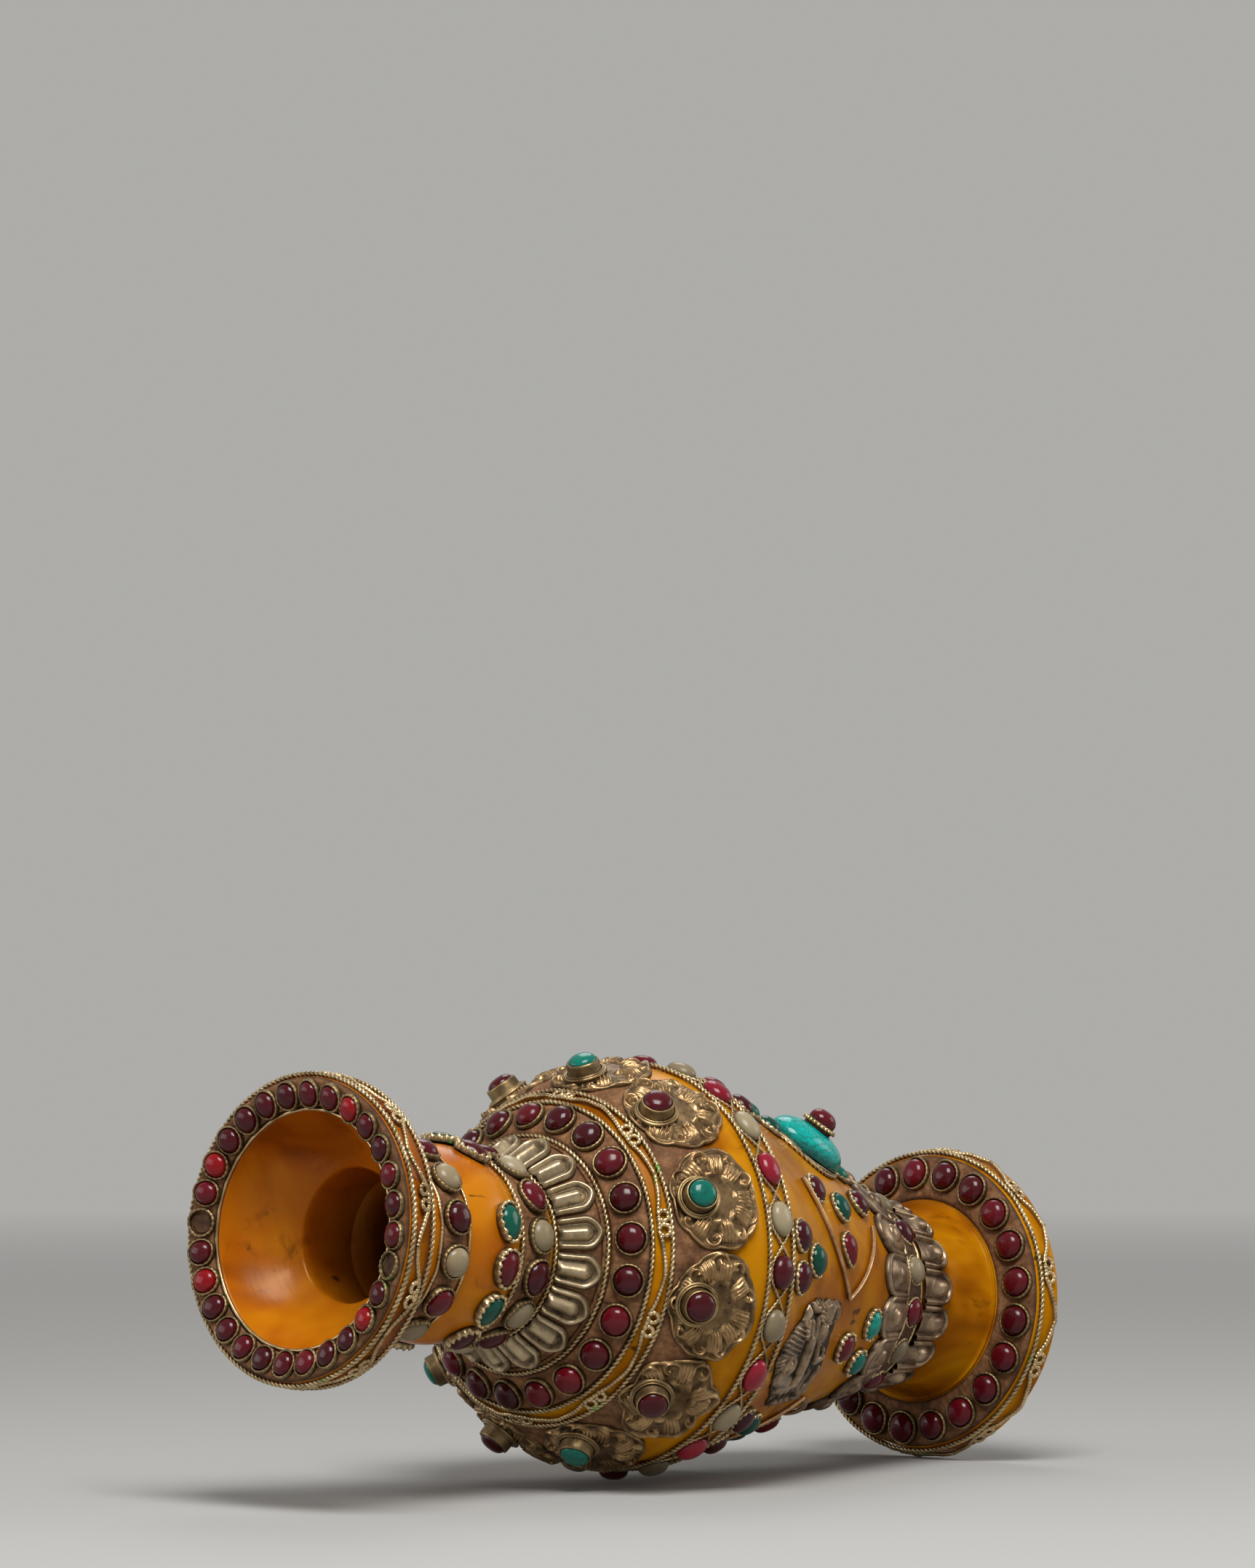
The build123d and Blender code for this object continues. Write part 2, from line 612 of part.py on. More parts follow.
def scalloped(half_long, half_wide, lobes):
    """Points round an oval with a scalloped edge: a crest and a notch for each lobe."""
    points = []
    for k in range(2 * lobes):
        a = pi * k / lobes
        swell = 1 - 2 * PLAQUE_LOBE_DEPTH * (k % 2)
        points.append((half_long * swell * cos(a), half_wide * swell * sin(a)))
    return points


def belly_plaques():
    """Pressed medallions draped over the belly: scalloped rim, sunk ring and domed middle."""
    low = 2 * SEAT_GAP
    levels = [(0.0, low), (0.5, low), (1.0, low), (0.97, low + PLAQUE_T / 2)]
    levels += [(0.84, low + PLAQUE_T), (0.62, low + 0.4 * PLAQUE_T), (0.0, low + PLAQUE_T)]
    outline = scalloped(PLAQUE_HALF_LONG, PLAQUE_HALF_WIDE, PLAQUE_LOBES)
    plaque = draped(on_arc(BELLY_ARC, PLAQUE_SPOT[1]), outline, levels)
    return [spin(plaque, PLAQUE_AZ + 360.0 * k / PLAQUES) for k in range(PLAQUES)]


def plaque_collets():
    """Stepped cups that hold the stones of the medallions."""
    share = COLLET_R / COLLET_BASE_R
    levels = [(1.0, 0.0), (1.0, COLLET_BASE_H), (share, COLLET_BASE_H + 0.2), (share, COLLET_H)]
    cup = tiers(oval(COLLET_BASE_R, COLLET_BASE_R, COLLET_SIDES), levels)
    return on_ring(cup, COLLET_SPOT, PLAQUES, PLAQUE_AZ)


def v_wires():
    """Bent wires that point away from each dome along the cone: a straight arm above, a curved one below."""
    drape = on_band(JOINT_1, CONE_TOP, (DOME_Z - JOINT_1[1]) / CONE_H)
    radius = cone_spot(DOME_Z)[0]
    corners = [(DOME_DROP - drop * CONE_STRETCH, radius * radians(swing)) for drop, swing in V_ROUTE]
    top, apex, bow, end = corners
    arms = [(Line(top, apex), V_STRAIGHT_STEPS), (ThreePointArc(apex, bow, end), V_CURVED_STEPS)]
    route = [arm @ (k / steps) for arm, steps in arms for k in range(steps)] + [arms[-1][0] @ 1]
    pieces = []
    for side in (-1, 1):
        wire = ribbon(drape, [(p.X, side * p.Y, V_WIRE_W / 2, V_WIRE_W) for p in route])
        pieces += [spin(wire, dome_az) for dome_az in DOMES]
    return pieces


def creatures():
    """A winged creature that lies round the cone, from its tail over the broad body to the head and snout."""
    drape = on_band(JOINT_1, CONE_TOP, (CREATURE_Z - JOINT_1[1]) / CONE_H)
    stations = [(3.0, -16.5, 3.0), (2.2, -12.0, 7.0), (1.2, -6.0, 9.0), (0.4, 0.0, 8.6)]
    stations += [(0.2, 5.5, 6.4), (-0.6, 9.8, 4.6), (-3.4, 12.2, 3.4), (-7.4, 12.2, 2.6)]
    figure = ribbon(drape, [(x * CONE_STRETCH, y, half, CREATURE_T) for x, y, half in stations])
    return [spin(figure, azimuth) for azimuth in CREATURES]


def dome_bezels():
    """Oval collars that seat the large turquoise domes on the cone."""
    spot = cone_spot(DOME_Z)
    rim = oval(DOME_STONE[0] + BEZEL_RIM, DOME_STONE[1] + BEZEL_RIM, DOME_SIDES)
    height = DOME_BEZEL_ROOT + DOME_BEZEL_H
    block = Pos(0, 0, -DOME_BEZEL_ROOT) * extrude(make_face(Polyline(*rim, close=True)), amount=height)
    low, high = [seat(JOINT_1, CONE_TOP, share, SEAT_GAP)[:2] for share in (0, 1)]
    cone = turned([(0, low[1]), low, high, (0, high[1])])
    collar = (place(block, spot) - cone).solids()
    return [spin(piece, dome_az) for dome_az in DOMES for piece in collar]


# ---------------------------------------------------------------- stones
def on_cone(shape, z, azimuths, lift=0.0, turns=(0.0,)):
    """Copies of a piece on the lower cone; turns are used in order."""
    spot = raised(cone_spot(z), lift)
    return [place(shape, spot, azimuth, turns[k % len(turns)]) for k, azimuth in enumerate(azimuths)]


def both_faces(*swings):
    """Azimuths to each side of the two domes."""
    return [dome_az + side * swing for dome_az in DOMES for swing in swings for side in (-1, 1)]


EMPTY_MOUTH_PLACES = (13, 26)
NECK_CREAMS = (1, 4, 6, 11, 13)
NECK_GREENS = (5, 10)
DROP_GREENS = (0, 3, 5, 8, 12)
DROP_GARNETS = (2, 4, 7, 9, 11, 13)
PLAQUE_GREENS = (0, 2, 4, 6, 8)
ROW_PINKS = (0, 2, 6, 10, 14, 18, 20)
ROW_GARNETS = (4, 8, 12, 16, 22)
WAIST_CREAMS = (0, 2, 4, 6, 8, 10, 13)


def others(count, taken):
    """The places on a ring that are not taken."""
    return [k for k in range(count) if k not in taken]


def cluster_garnets():
    """Pairs of garnets on the belly, each pair over one green stone."""
    spot = arc_seat(BELLY_ARC, CLUSTER_HIGH_Z, SEAT_GAP)
    middles = [CLUSTER_AZ + 360 / CLUSTERS * k for k in range(CLUSTERS)]
    azimuths = [middle + side * CLUSTER_SWING for middle in middles for side in (-1, 1)]
    return [place(small_gem(CLUSTER_STONE), spot, azimuth) for azimuth in azimuths]


def cluster_greens():
    return on_ring(small_gem(CLUSTER_STONE), cone_spot(CLUSTER_LOW_Z), CLUSTERS, CLUSTER_AZ)


def row_stones(keep, tips):
    return on_ring(gem(ROW_STONE, tips), ROW_SPOT, ROW_STONES, ROW_AZ, keep)


def side_greens():
    ends = [stone for z in DOME_END_Z for stone in on_cone(small_gem(SIDE_STONE), z, DOMES)]
    return ends + on_cone(small_gem(SIDE_STONE), SIDE_MID_Z, both_faces(SIDE_SWING))


def side_garnets():
    high = on_cone(small_gem(SIDE_STONE), SIDE_HIGH_Z, both_faces(HIGH_SIDE_SWING))
    return high + on_cone(small_gem(SIDE_STONE), SIDE_LOW_Z, both_faces(LOW_SIDE_SWING))


def crest_cups():
    cup = tiers(oval(CREST_CUP_R, CREST_CUP_R, 12), [(1.0, 0.0), (0.9, CREST_CUP_H)])
    return on_cone(cup, DOME_Z, DOMES, DOME_BEZEL_H + DOME_STONE[2] + 2 * SEAT_GAP)


def crest_garnets():
    lift = DOME_BEZEL_H + DOME_STONE[2] + CREST_CUP_H + 3 * SEAT_GAP
    return on_cone(gem(CREST_STONE), DOME_Z, DOMES, lift)


def pendant_turquoises():
    azimuths = [azimuth + side * PENDANT_SWING for azimuth in CREATURES for side in (-1, 1)]
    return on_cone(small_gem(SIDE_STONE), PENDANT_LOW_Z, azimuths)


# ---------------------------------------------------------------- nodes
odd = range(1, COLLAR_STONES, 2)
even = range(0, COLLAR_STONES, 2)
red_mouth = others(MOUTH_STONES, EMPTY_MOUTH_PLACES)
red_neck = others(NECK_STONES, NECK_CREAMS + NECK_GREENS)
red_waist = others(WAIST_STONES, WAIST_CREAMS)
red_plaques = others(PLAQUES, PLAQUE_GREENS)
row_creams = others(ROW_STONES, ROW_PINKS + ROW_GARNETS)
mouth_cup = bezel_plate(MOUTH_STONE)
neck_gem = gem(NECK_STONE)
waist_gem = small_gem(WAIST_STONE)
drop_gem = gem(PENDANT_STONE, (0.35, 0))
waist_spot = cone_spot(WAIST_ROW_Z)
nodes = {
    "amber_foot": [amber_foot()],
    "amber_body": [amber_body()],
    "amber_torus_collar": [amber_torus()],
    "amber_mouth": [amber_mouth()],
    "mouth_paste_band": [mouth_paste()],
    "neck_paste_band": [neck_paste()],
    "collar_paste_band": [collar_paste()],
    "petal_paste_band": [petal_ground()],
    "shoulder_paste_band": [shoulder_paste()],
    "foot_paste_band": [foot_paste()],
    "mouth_lip_wire": mouth_lip_wire(),
    "mouth_rim_wires": mouth_rim_wires(),
    "mouth_zigzag_wire": zigzag(RIM_LOW, RIM_HIGH, 0.22, 0.78),
    "neck_wires": neck_wires(),
    "collar_wires": collar_wires(),
    "shoulder_wires": shoulder_wires(),
    "shoulder_zigzag_wire": zigzag(SHOULDER, BAND_LOW, 0.06, 0.92),
    "belly_wires": belly_wires(),
    "waist_wires": waist_wires(),
    "foot_wire": foot_wire(),
    "foot_zigzag_wire": zigzag(FLOOR_EDGE, FOOT_TOP, 0.12, 0.74),
    "empty_mouth_cups": on_ring(mouth_cup, MOUTH_SPOT, MOUTH_STONES, MOUTH_AZ, EMPTY_MOUTH_PLACES),
    "mouth_garnets": on_ring(gem(MOUTH_STONE), MOUTH_SPOT, MOUTH_STONES, MOUTH_AZ, red_mouth),
    "neck_garnets": on_ring(neck_gem, NECK_SPOT, NECK_STONES, NECK_AZ, red_neck),
    "neck_cream_stones": on_ring(neck_gem, NECK_SPOT, NECK_STONES, NECK_AZ, NECK_CREAMS),
    "neck_green_stones": on_ring(neck_gem, NECK_SPOT, NECK_STONES, NECK_AZ, NECK_GREENS),
    "drop_green_stones": on_ring(gem(DROP_STONE, (0.3, 0)), TORUS_SPOT, COLLAR_STONES, DROP_AZ, DROP_GREENS),
    "drop_garnets": on_ring(gem(DROP_STONE, (0.3, 0)), TORUS_SPOT, COLLAR_STONES, DROP_AZ, DROP_GARNETS),
    "collar_garnets": on_ring(gem(COLLAR_STONE), COLLAR_SPOT, COLLAR_STONES, COLLAR_AZ, odd),
    "collar_cream_stones": on_ring(gem(COLLAR_STONE), COLLAR_SPOT, COLLAR_STONES, COLLAR_AZ, even),
    "shoulder_petals": shoulder_petals(),
    "shoulder_garnets": on_ring(gem(BAND_STONE), BAND_SPOT, BAND_STONES, BAND_AZ),
    "belly_plaques": belly_plaques(),
    "plaque_collets": plaque_collets(),
    "plaque_turquoises": on_ring(gem(PLAQUE_STONE), PLAQUE_STONE_SPOT, PLAQUES, PLAQUE_AZ, PLAQUE_GREENS),
    "plaque_garnets": on_ring(gem(PLAQUE_STONE), PLAQUE_STONE_SPOT, PLAQUES, PLAQUE_AZ, red_plaques),
    "row_cream_stones": row_stones(row_creams, (0.1, 0.1)),
    "row_garnets": row_stones(ROW_GARNETS, (0, 0)),
    "row_pink_stones": row_stones(ROW_PINKS, (0.0, 0.1)),
    "cluster_garnets": cluster_garnets(),
    "cluster_green_stones": cluster_greens(),
    "dome_bezels": dome_bezels(),
    "turquoise_domes": on_cone(dome(DOME_STONE), DOME_Z, DOMES, DOME_BEZEL_H + SEAT_GAP),
    "crest_cups": crest_cups(),
    "crest_garnets": crest_garnets(),
    "side_green_stones": side_greens(),
    "side_garnets": side_garnets(),
    "v_wires": v_wires(),
    "v_drop_garnets": on_cone(drop_gem, DROP_Z, both_faces(DROP_SWING), turns=(90, -90)),
    "creature_appliques": creatures(),
    "pendant_turquoises": pendant_turquoises(),
    "pendant_garnets": on_cone(small_gem(SIDE_STONE), PENDANT_HIGH_Z, CREATURES),
    "waist_leaves": waist_leaves(),
    "waist_garnets": on_ring(waist_gem, waist_spot, WAIST_STONES, WAIST_AZ, red_waist),
    "waist_cream_stones": on_ring(waist_gem, waist_spot, WAIST_STONES, WAIST_AZ, WAIST_CREAMS),
    "foot_petals": foot_petals(),
    "foot_garnets": on_ring(gem(FOOT_STONE), FOOT_SPOT, FOOT_STONES, FOOT_AZ),
}
for node, shapes in nodes.items():
    save(node, shapes)
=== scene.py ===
"""Looks of a jewelled amber vase: turned amber, brown paste, twisted wires, cabochons and pressed metal.

All shapes are worked out in millimetres in the vase's own frame (+Z along its axis, the origin under
the foot) and turned into metres when a mesh is made.
"""

import json
from math import asin, atan2, cos, degrees, hypot, pi, radians, sin

import bpy
import numpy as np
from mathutils import Matrix

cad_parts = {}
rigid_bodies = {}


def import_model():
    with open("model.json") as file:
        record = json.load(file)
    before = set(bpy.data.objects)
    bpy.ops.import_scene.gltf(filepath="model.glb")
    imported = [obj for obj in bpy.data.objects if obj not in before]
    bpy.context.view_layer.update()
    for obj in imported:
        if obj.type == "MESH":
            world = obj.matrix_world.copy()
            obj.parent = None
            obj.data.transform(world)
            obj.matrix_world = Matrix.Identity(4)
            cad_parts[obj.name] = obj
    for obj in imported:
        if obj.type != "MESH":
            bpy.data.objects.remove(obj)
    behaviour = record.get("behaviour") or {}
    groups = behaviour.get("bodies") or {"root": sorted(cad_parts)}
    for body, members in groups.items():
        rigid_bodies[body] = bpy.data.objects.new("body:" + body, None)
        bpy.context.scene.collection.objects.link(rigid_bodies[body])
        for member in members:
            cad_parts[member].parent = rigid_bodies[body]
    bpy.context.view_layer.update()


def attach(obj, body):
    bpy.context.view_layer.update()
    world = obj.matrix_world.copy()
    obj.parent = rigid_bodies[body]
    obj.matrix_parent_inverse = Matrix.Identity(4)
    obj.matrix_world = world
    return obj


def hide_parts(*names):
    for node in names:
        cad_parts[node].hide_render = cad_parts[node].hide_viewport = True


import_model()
MM = 0.001

# ---------------------------------------------------------------- sizes, in millimetres
FOOT_R, FOOT_RIM_H, FOOT_RIM_TAPER = 45.0, 8.0, 1.4
FOOT_FACE_W, FOOT_FACE_RISE, FOOT_STEP = 13.8, 2.2, 0.8
FOOT_FLARE_H, FOOT_NECK_H, FOOT_FLARE_DIP = 17.0, 7.0, 1.0
FOOT_RECESS_R, FOOT_RECESS_DEPTH = 34.0, 2.0
WAIST_R, CONE_H, CONE_TOP_R = 24.5, 91.0, 52.5
BELLY_R, BELLY_RISE, SHOULDER_RISE, SHOULDER_R = 56.5, 25.0, 25.2, 45.6
BAND_DROP_W, BAND_DROP_H, BAND_W, BAND_RISE = 2.1, 2.9, 11.7, 8.2
PETAL_BAND_W, PETAL_BAND_RISE = 8.3, 11.2
COLLAR_H, COLLAR_FLARE = 17.0, 1.8
TORUS_H, TORUS_BULGE = 20.0, 2.4
NECK_H, FLARE_H, MOUTH_R, MOUTH_RIM_H = 14.0, 17.0, 41.2, 9.0
MOUTH_FACE_W, MOUTH_FACE_DIP, THROAT_R, FUNNEL_H = 9.0, 2.4, 18.8, 18.0
WALL, FLOOR_T = 7.0, 12.0
GAP = 0.12
PASTE_T, THIN_PASTE_T = 1.2, 0.8
WIRE_W, FINE_WIRE_W = 1.5, 1.0

# Stones: half their height along the vase, half their width round it, and how far they stand out
MOUTH_STONE, NECK_STONE, DROP_STONE = (3.4, 3.2, 2.8), (4.2, 4.3, 3.6), (4.6, 4.3, 3.4)
COLLAR_STONE, BAND_STONE, PLAQUE_STONE = (4.4, 4.7, 3.6), (4.05, 4.05, 3.6), (4.1, 4.1, 2.8)
ROW_STONE, CLUSTER_STONE, DOME_STONE = (3.9, 5.0, 3.6), (3.7, 4.3, 3.4), (14.0, 10.5, 7.0)
CREST_STONE, SIDE_STONE, PENDANT_STONE = (4.2, 4.2, 4.0), (3.7, 4.1, 3.2), (4.2, 3.6, 3.0)
WAIST_STONE, WAIST_CABOCHON, FOOT_STONE = (3.8, 3.4, 3.0), (4.2, 4.0, 3.3), (4.2, 4.2, 3.6)
STONE_JITTER, STONE_INSET = 0.04, 0.05

# Rings of places: how many, and the azimuth of the first
MOUTH_RING, NECK_RING, DROP_RING, COLLAR_RING = (28, -68.9), (14, -66.5), (14, -66.0), (14, -71.0)
BAND_RING, FOOT_RING, ROW_RING, WAIST_RING = (21, -72.2), (21, -70.7), (24, -50.5), (15, -67.0)
PLAQUE_RING, PETAL_RING, LEAF_RING, FOOT_PETAL_RING = (11, -60.0), (17, -68.0), (17, -72.5), (16, -74.5)
EMPTY_MOUTH_PLACES, RED_MOUTH_PLACES = (13, 26), (4, 11, 15, 24)
NECK_CREAMS, NECK_GREENS = (1, 4, 6, 11, 13), (5, 10)
DROP_GREENS, DROP_GARNETS = (0, 3, 5, 8, 12), (2, 4, 7, 9, 11, 13)
COLLAR_CREAMS, COLLAR_GARNETS = range(0, 14, 2), range(1, 14, 2)
WAIST_CREAMS = (0, 2, 4, 6, 8, 10, 13)
ROW_PINKS, ROW_GARNETS = (0, 2, 6, 10, 14, 18, 20), (4, 8, 12, 16, 22)
PLAQUE_GREENS = (0, 2, 4, 6, 8)
DOMES, CREATURES = (-18.0, 162.0), (-106.0, 74.0)
CLUSTERS = [-75.0 + 60.0 * k for k in range(6)]

# Heights of the rows and motifs on the body
ROW_Z, WAIST_ROW_Z, DOME_Z, CREATURE_Z = 141.0, 48.0, 92.0, 111.5
CLUSTER_Z, CLUSTER_TIP_Z = 129.6, 119.0
MOUTH_SHARE, NECK_SHARE, COLLAR_SHARE, BAND_SHARE, FOOT_SHARE = 0.47, 0.40, 0.5, 0.47, 0.42
DROP_BELOW_TORUS = 3.2
WAIST_WIRE_GAP = 0.7
ROW_WIRE_STEP = ROW_STONE[0] + WIRE_W

# Meridian stations: radius and height
FLOOR_EDGE = (FOOT_R, 0.0)
FOOT_TOP = (FOOT_R - FOOT_RIM_TAPER, FOOT_RIM_H)
GROOVE = (FOOT_TOP[0] - FOOT_FACE_W, FOOT_TOP[1] + FOOT_FACE_RISE)
WAIST = (WAIST_R, GROOVE[1] + FOOT_FLARE_H)
JOINT_1 = (WAIST_R, WAIST[1] + FOOT_NECK_H)
CONE_TOP = (CONE_TOP_R, JOINT_1[1] + CONE_H)
BELLY = (BELLY_R, CONE_TOP[1] + BELLY_RISE)
SHOULDER = (SHOULDER_R, BELLY[1] + SHOULDER_RISE)
BAND_LOW = (SHOULDER[0] - BAND_DROP_W, SHOULDER[1] + BAND_DROP_H)
BAND_HIGH = (BAND_LOW[0] - BAND_W, BAND_LOW[1] + BAND_RISE)
COLLAR_LOW = (BAND_HIGH[0] - PETAL_BAND_W, BAND_HIGH[1] + PETAL_BAND_RISE)
COLLAR_HIGH = (COLLAR_LOW[0] + COLLAR_FLARE, COLLAR_LOW[1] + COLLAR_H)
TORUS_MID = (COLLAR_HIGH[0] + TORUS_BULGE, COLLAR_HIGH[1] + TORUS_H / 2)
NECK_LOW = (COLLAR_HIGH[0], COLLAR_HIGH[1] + TORUS_H)
NECK_HIGH = (NECK_LOW[0], NECK_LOW[1] + NECK_H)
RIM_LOW = (MOUTH_R, NECK_HIGH[1] + FLARE_H)
RIM_HIGH = (MOUTH_R, RIM_LOW[1] + MOUTH_RIM_H)
LIP = (MOUTH_R - MOUTH_FACE_W, RIM_HIGH[1] - MOUTH_FACE_DIP)
THROAT = (THROAT_R, LIP[1] - FUNNEL_H)
CAVITY_FLOOR_Z = JOINT_1[1] + FLOOR_T


# ---------------------------------------------------------------- places on the vase
def arc_circle(low, mid, high):
    """Centre and radius of the circle through three meridian stations."""
    (ax, ay), (bx, by), (cx, cy) = low, mid, high
    d = 2 * (ax * (by - cy) + bx * (cy - ay) + cx * (ay - by))
    a2, b2, c2 = ax * ax + ay * ay, bx * bx + by * by, cx * cx + cy * cy
    ux = (a2 * (by - cy) + b2 * (cy - ay) + c2 * (ay - by)) / d
    uy = (a2 * (cx - bx) + b2 * (ax - cx) + c2 * (bx - ax)) / d
    return ux, uy, hypot(ax - ux, ay - uy)


def seat(low, high, share, lift=0.0):
    """A place on a straight band: radius, height and the tilt of the outward normal in degrees."""
    dr, dz = high[0] - low[0], high[1] - low[1]
    length = hypot(dr, dz)
    nr, nz = dz / length, -dr / length
    return low[0] + share * dr + lift * nr, low[1] + share * dz + lift * nz, degrees(atan2(nz, nr))


def arc_seat(circle, z, lift=0.0):
    """A place on a convex arc band at a height."""
    cr, cz, radius = circle
    tilt = asin((z - cz) / radius)
    return cr + (radius + lift) * cos(tilt), cz + (radius + lift) * sin(tilt), degrees(tilt)


BELLY_ARC = arc_circle(CONE_TOP, BELLY, SHOULDER)
TORUS_ARC = arc_circle(COLLAR_HIGH, TORUS_MID, NECK_LOW)


def cone_share(z):
    return (z - JOINT_1[1]) / CONE_H


def cone_spot(z, lift=GAP):
    """A seat on the body's lower cone at a height."""
    return seat(JOINT_1, CONE_TOP, cone_share(z), lift)


def raised(spot, height):
    """The same seat, further out along its normal."""
    r, z, tilt = spot
    return r + height * cos(radians(tilt)), z + height * sin(radians(tilt)), tilt


def spun(r, a, z):
    """Points at radii, angles and heights round the vase's axis."""
    r, a, z = np.broadcast_arrays(r, a, z)
    return np.stack([r * np.cos(a), r * np.sin(a), z], -1)


def local(x, y, h, turn=0.0):
    """Local coordinates as arrays of one shape, turned about the outward normal."""
    x, y, h = np.broadcast_arrays(x, y, h)
    w = radians(turn)
    return x * cos(w) - y * sin(w), x * sin(w) + y * cos(w), h


def tangent(spot, azimuth, turn=0.0):
    """Maps local points (x up the vase, y towards falling azimuth, h outward) from a seat to space."""
    r, z, tilt = spot
    t, a = radians(tilt), radians(azimuth)
    radial, axis = np.array([cos(a), sin(a), 0.0]), np.array([0, 0, 1.0])
    up = -sin(t) * radial + cos(t) * axis
    out = cos(t) * radial + sin(t) * axis
    across = np.cross(out, up)

    def to_space(x, y, h):
        x, y, h = local(x, y, h, turn)
        return r * radial + z * axis + x[..., None] * up + y[..., None] * across + h[..., None] * out
    return to_space


def band_drape(low, high, share, azimuth, turn=0.0):
    """Maps local points onto a straight band, bent round the vase."""
    dr, dz = high[0] - low[0], high[1] - low[1]
    length = hypot(dr, dz)
    radius, start, _ = seat(low, high, share)

    def to_space(x, y, h):
        x, y, h = local(x, y, h, turn)
        r = radius + x * dr / length + h * dz / length
        return spun(r, radians(azimuth) - y / radius, start + x * dz / length - h * dr / length)
    return to_space


def arc_drape(circle, z, azimuth):
    """Maps local points onto a convex arc band, bent both ways."""
    cr, cz, radius = circle
    start = asin((z - cz) / radius)
    round_r = cr + radius * cos(start)

    def to_space(x, y, h):
        x, y, h = local(x, y, h)
        t = start + x / radius
        r, height = cr + (radius + h) * np.cos(t), cz + (radius + h) * np.sin(t)
        return spun(r, radians(azimuth) - y / round_r, height)
    return to_space


def cone_drape(z, azimuth, turn=0.0):
    return band_drape(JOINT_1, CONE_TOP, cone_share(z), azimuth, turn)


def shifted(to_space, dx=0.0, dy=0.0, dh=0.0):
    """The same map with its points moved in the local frame first."""
    return lambda x, y, h: to_space(x + dx, y + dy, h + dh)


def ring_places(ring, keep=None):
    """Azimuths of a ring's places; keep picks which are filled."""
    count, first = ring
    return [first + 360.0 * k / count for k in (range(count) if keep is None else keep)]


def others(ring, taken):
    return [k for k in range(ring[0]) if k not in taken]


def beside(azimuths, swing):
    """Places at equal swings on both sides of each azimuth."""
    return [azimuth + side * swing for azimuth in azimuths for side in (-1, 1)]


def full_turn(count):
    return np.linspace(0, 2 * pi, count, endpoint=False)


def unit(v):
    return v / np.linalg.norm(v, axis=-1, keepdims=True)


def wander(seed, angle, along=0.0, low=3, high=40, waves=9):
    """Smooth random ripple between about -1 and 1 that closes round the vase."""
    rng = np.random.default_rng(seed)
    total = 0.0
    for _ in range(waves):
        turns = int(rng.integers(low, high))
        total = total + np.sin(turns * angle + rng.uniform(-0.6, 0.6) * along + rng.uniform(0, 2 * pi))
    return total / waves ** 0.5 / 1.4


# ---------------------------------------------------------------- mesh making
def add_thing(name, data):
    """Adds an object to the scene."""
    thing = bpy.data.objects.new(name, data)
    bpy.context.scene.collection.objects.link(thing)
    return thing


class Mesher:
    """Gathers grids of points into one mesh, with a tone and a darkening value at each point, which paints
    shade as well as soiling.
    """

    def __init__(self):
        self.points, self.tones, self.grimes, self.quads, self.fans = [], [], [], [], []
        self.count = 0

    def add(self, points, tone, grime):
        shape = points.shape[:-1]
        self.points.append(points.reshape(-1, 3))
        self.tones.append(np.broadcast_to(tone, shape).ravel().astype(np.float32))
        self.grimes.append(np.broadcast_to(grime, shape).ravel().astype(np.float32))
        index = self.count + np.arange(int(np.prod(shape))).reshape(shape)
        self.count += index.size
        return index

    def grid(self, points, tone=0.0, grime=0.0, loop=False, ring=False, flip=False):
        """A sheet of quads; loop joins the last column to the first, ring the last row to the first."""
        index = self.add(points, tone, grime)
        if loop:
            index = np.concatenate([index, index[:, :1]], 1)
        if ring:
            index = np.concatenate([index, index[:1]], 0)
        a, b, c, d = index[:-1, :-1], index[:-1, 1:], index[1:, 1:], index[1:, :-1]
        self.quads.append(np.stack([a, d, c, b] if flip else [a, b, c, d], -1).reshape(-1, 4))
        return index

    def cap(self, row, point, tone=0.0, grime=0.0, flip=False):
        """Closes a loop of points with a fan."""
        centre = self.add(np.asarray(point, float).reshape(1, 3), tone, grime)[0]
        ring = row[:-1] if row[0] == row[-1] else row
        following, middle = np.roll(ring, -1), np.full_like(ring, centre)
        self.fans.append(np.stack([ring, middle, following] if flip else [ring, following, middle], -1))

    def piece(self, name, finish, node=None):
        """Makes the mesh, hangs it on the vase's body and hides the CAD node it stands in for."""
        points, quads = np.concatenate(self.points) * MM, np.concatenate(self.quads)
        fans = np.concatenate(self.fans) if self.fans else np.zeros((0, 3), int)
        corners = np.concatenate([quads.ravel(), fans.ravel()])
        starts = np.concatenate([np.arange(len(quads)) * 4, 4 * len(quads) + np.arange(len(fans)) * 3])
        mesh = bpy.data.meshes.new(name)
        mesh.vertices.add(len(points))
        mesh.vertices.foreach_set("co", points.astype(np.float32).ravel())
        mesh.loops.add(len(corners))
        mesh.loops.foreach_set("vertex_index", corners.astype(np.int32))
        mesh.polygons.add(len(starts))
        mesh.polygons.foreach_set("loop_start", starts.astype(np.int32))
        mesh.polygons.foreach_set("use_smooth", np.ones(len(starts), bool))
        for label, values in (("tone", self.tones), ("grime", self.grimes)):
            attribute = mesh.attributes.new(label, "FLOAT", "POINT")
            attribute.data.foreach_set("value", np.concatenate(values))
        mesh.update(calc_edges=True)
        mesh.validate()
        material, slot = finish
        mesh.materials.append(material)
        thing = add_thing(name, mesh)
        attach(thing, "root")
        if node:
            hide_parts(node)


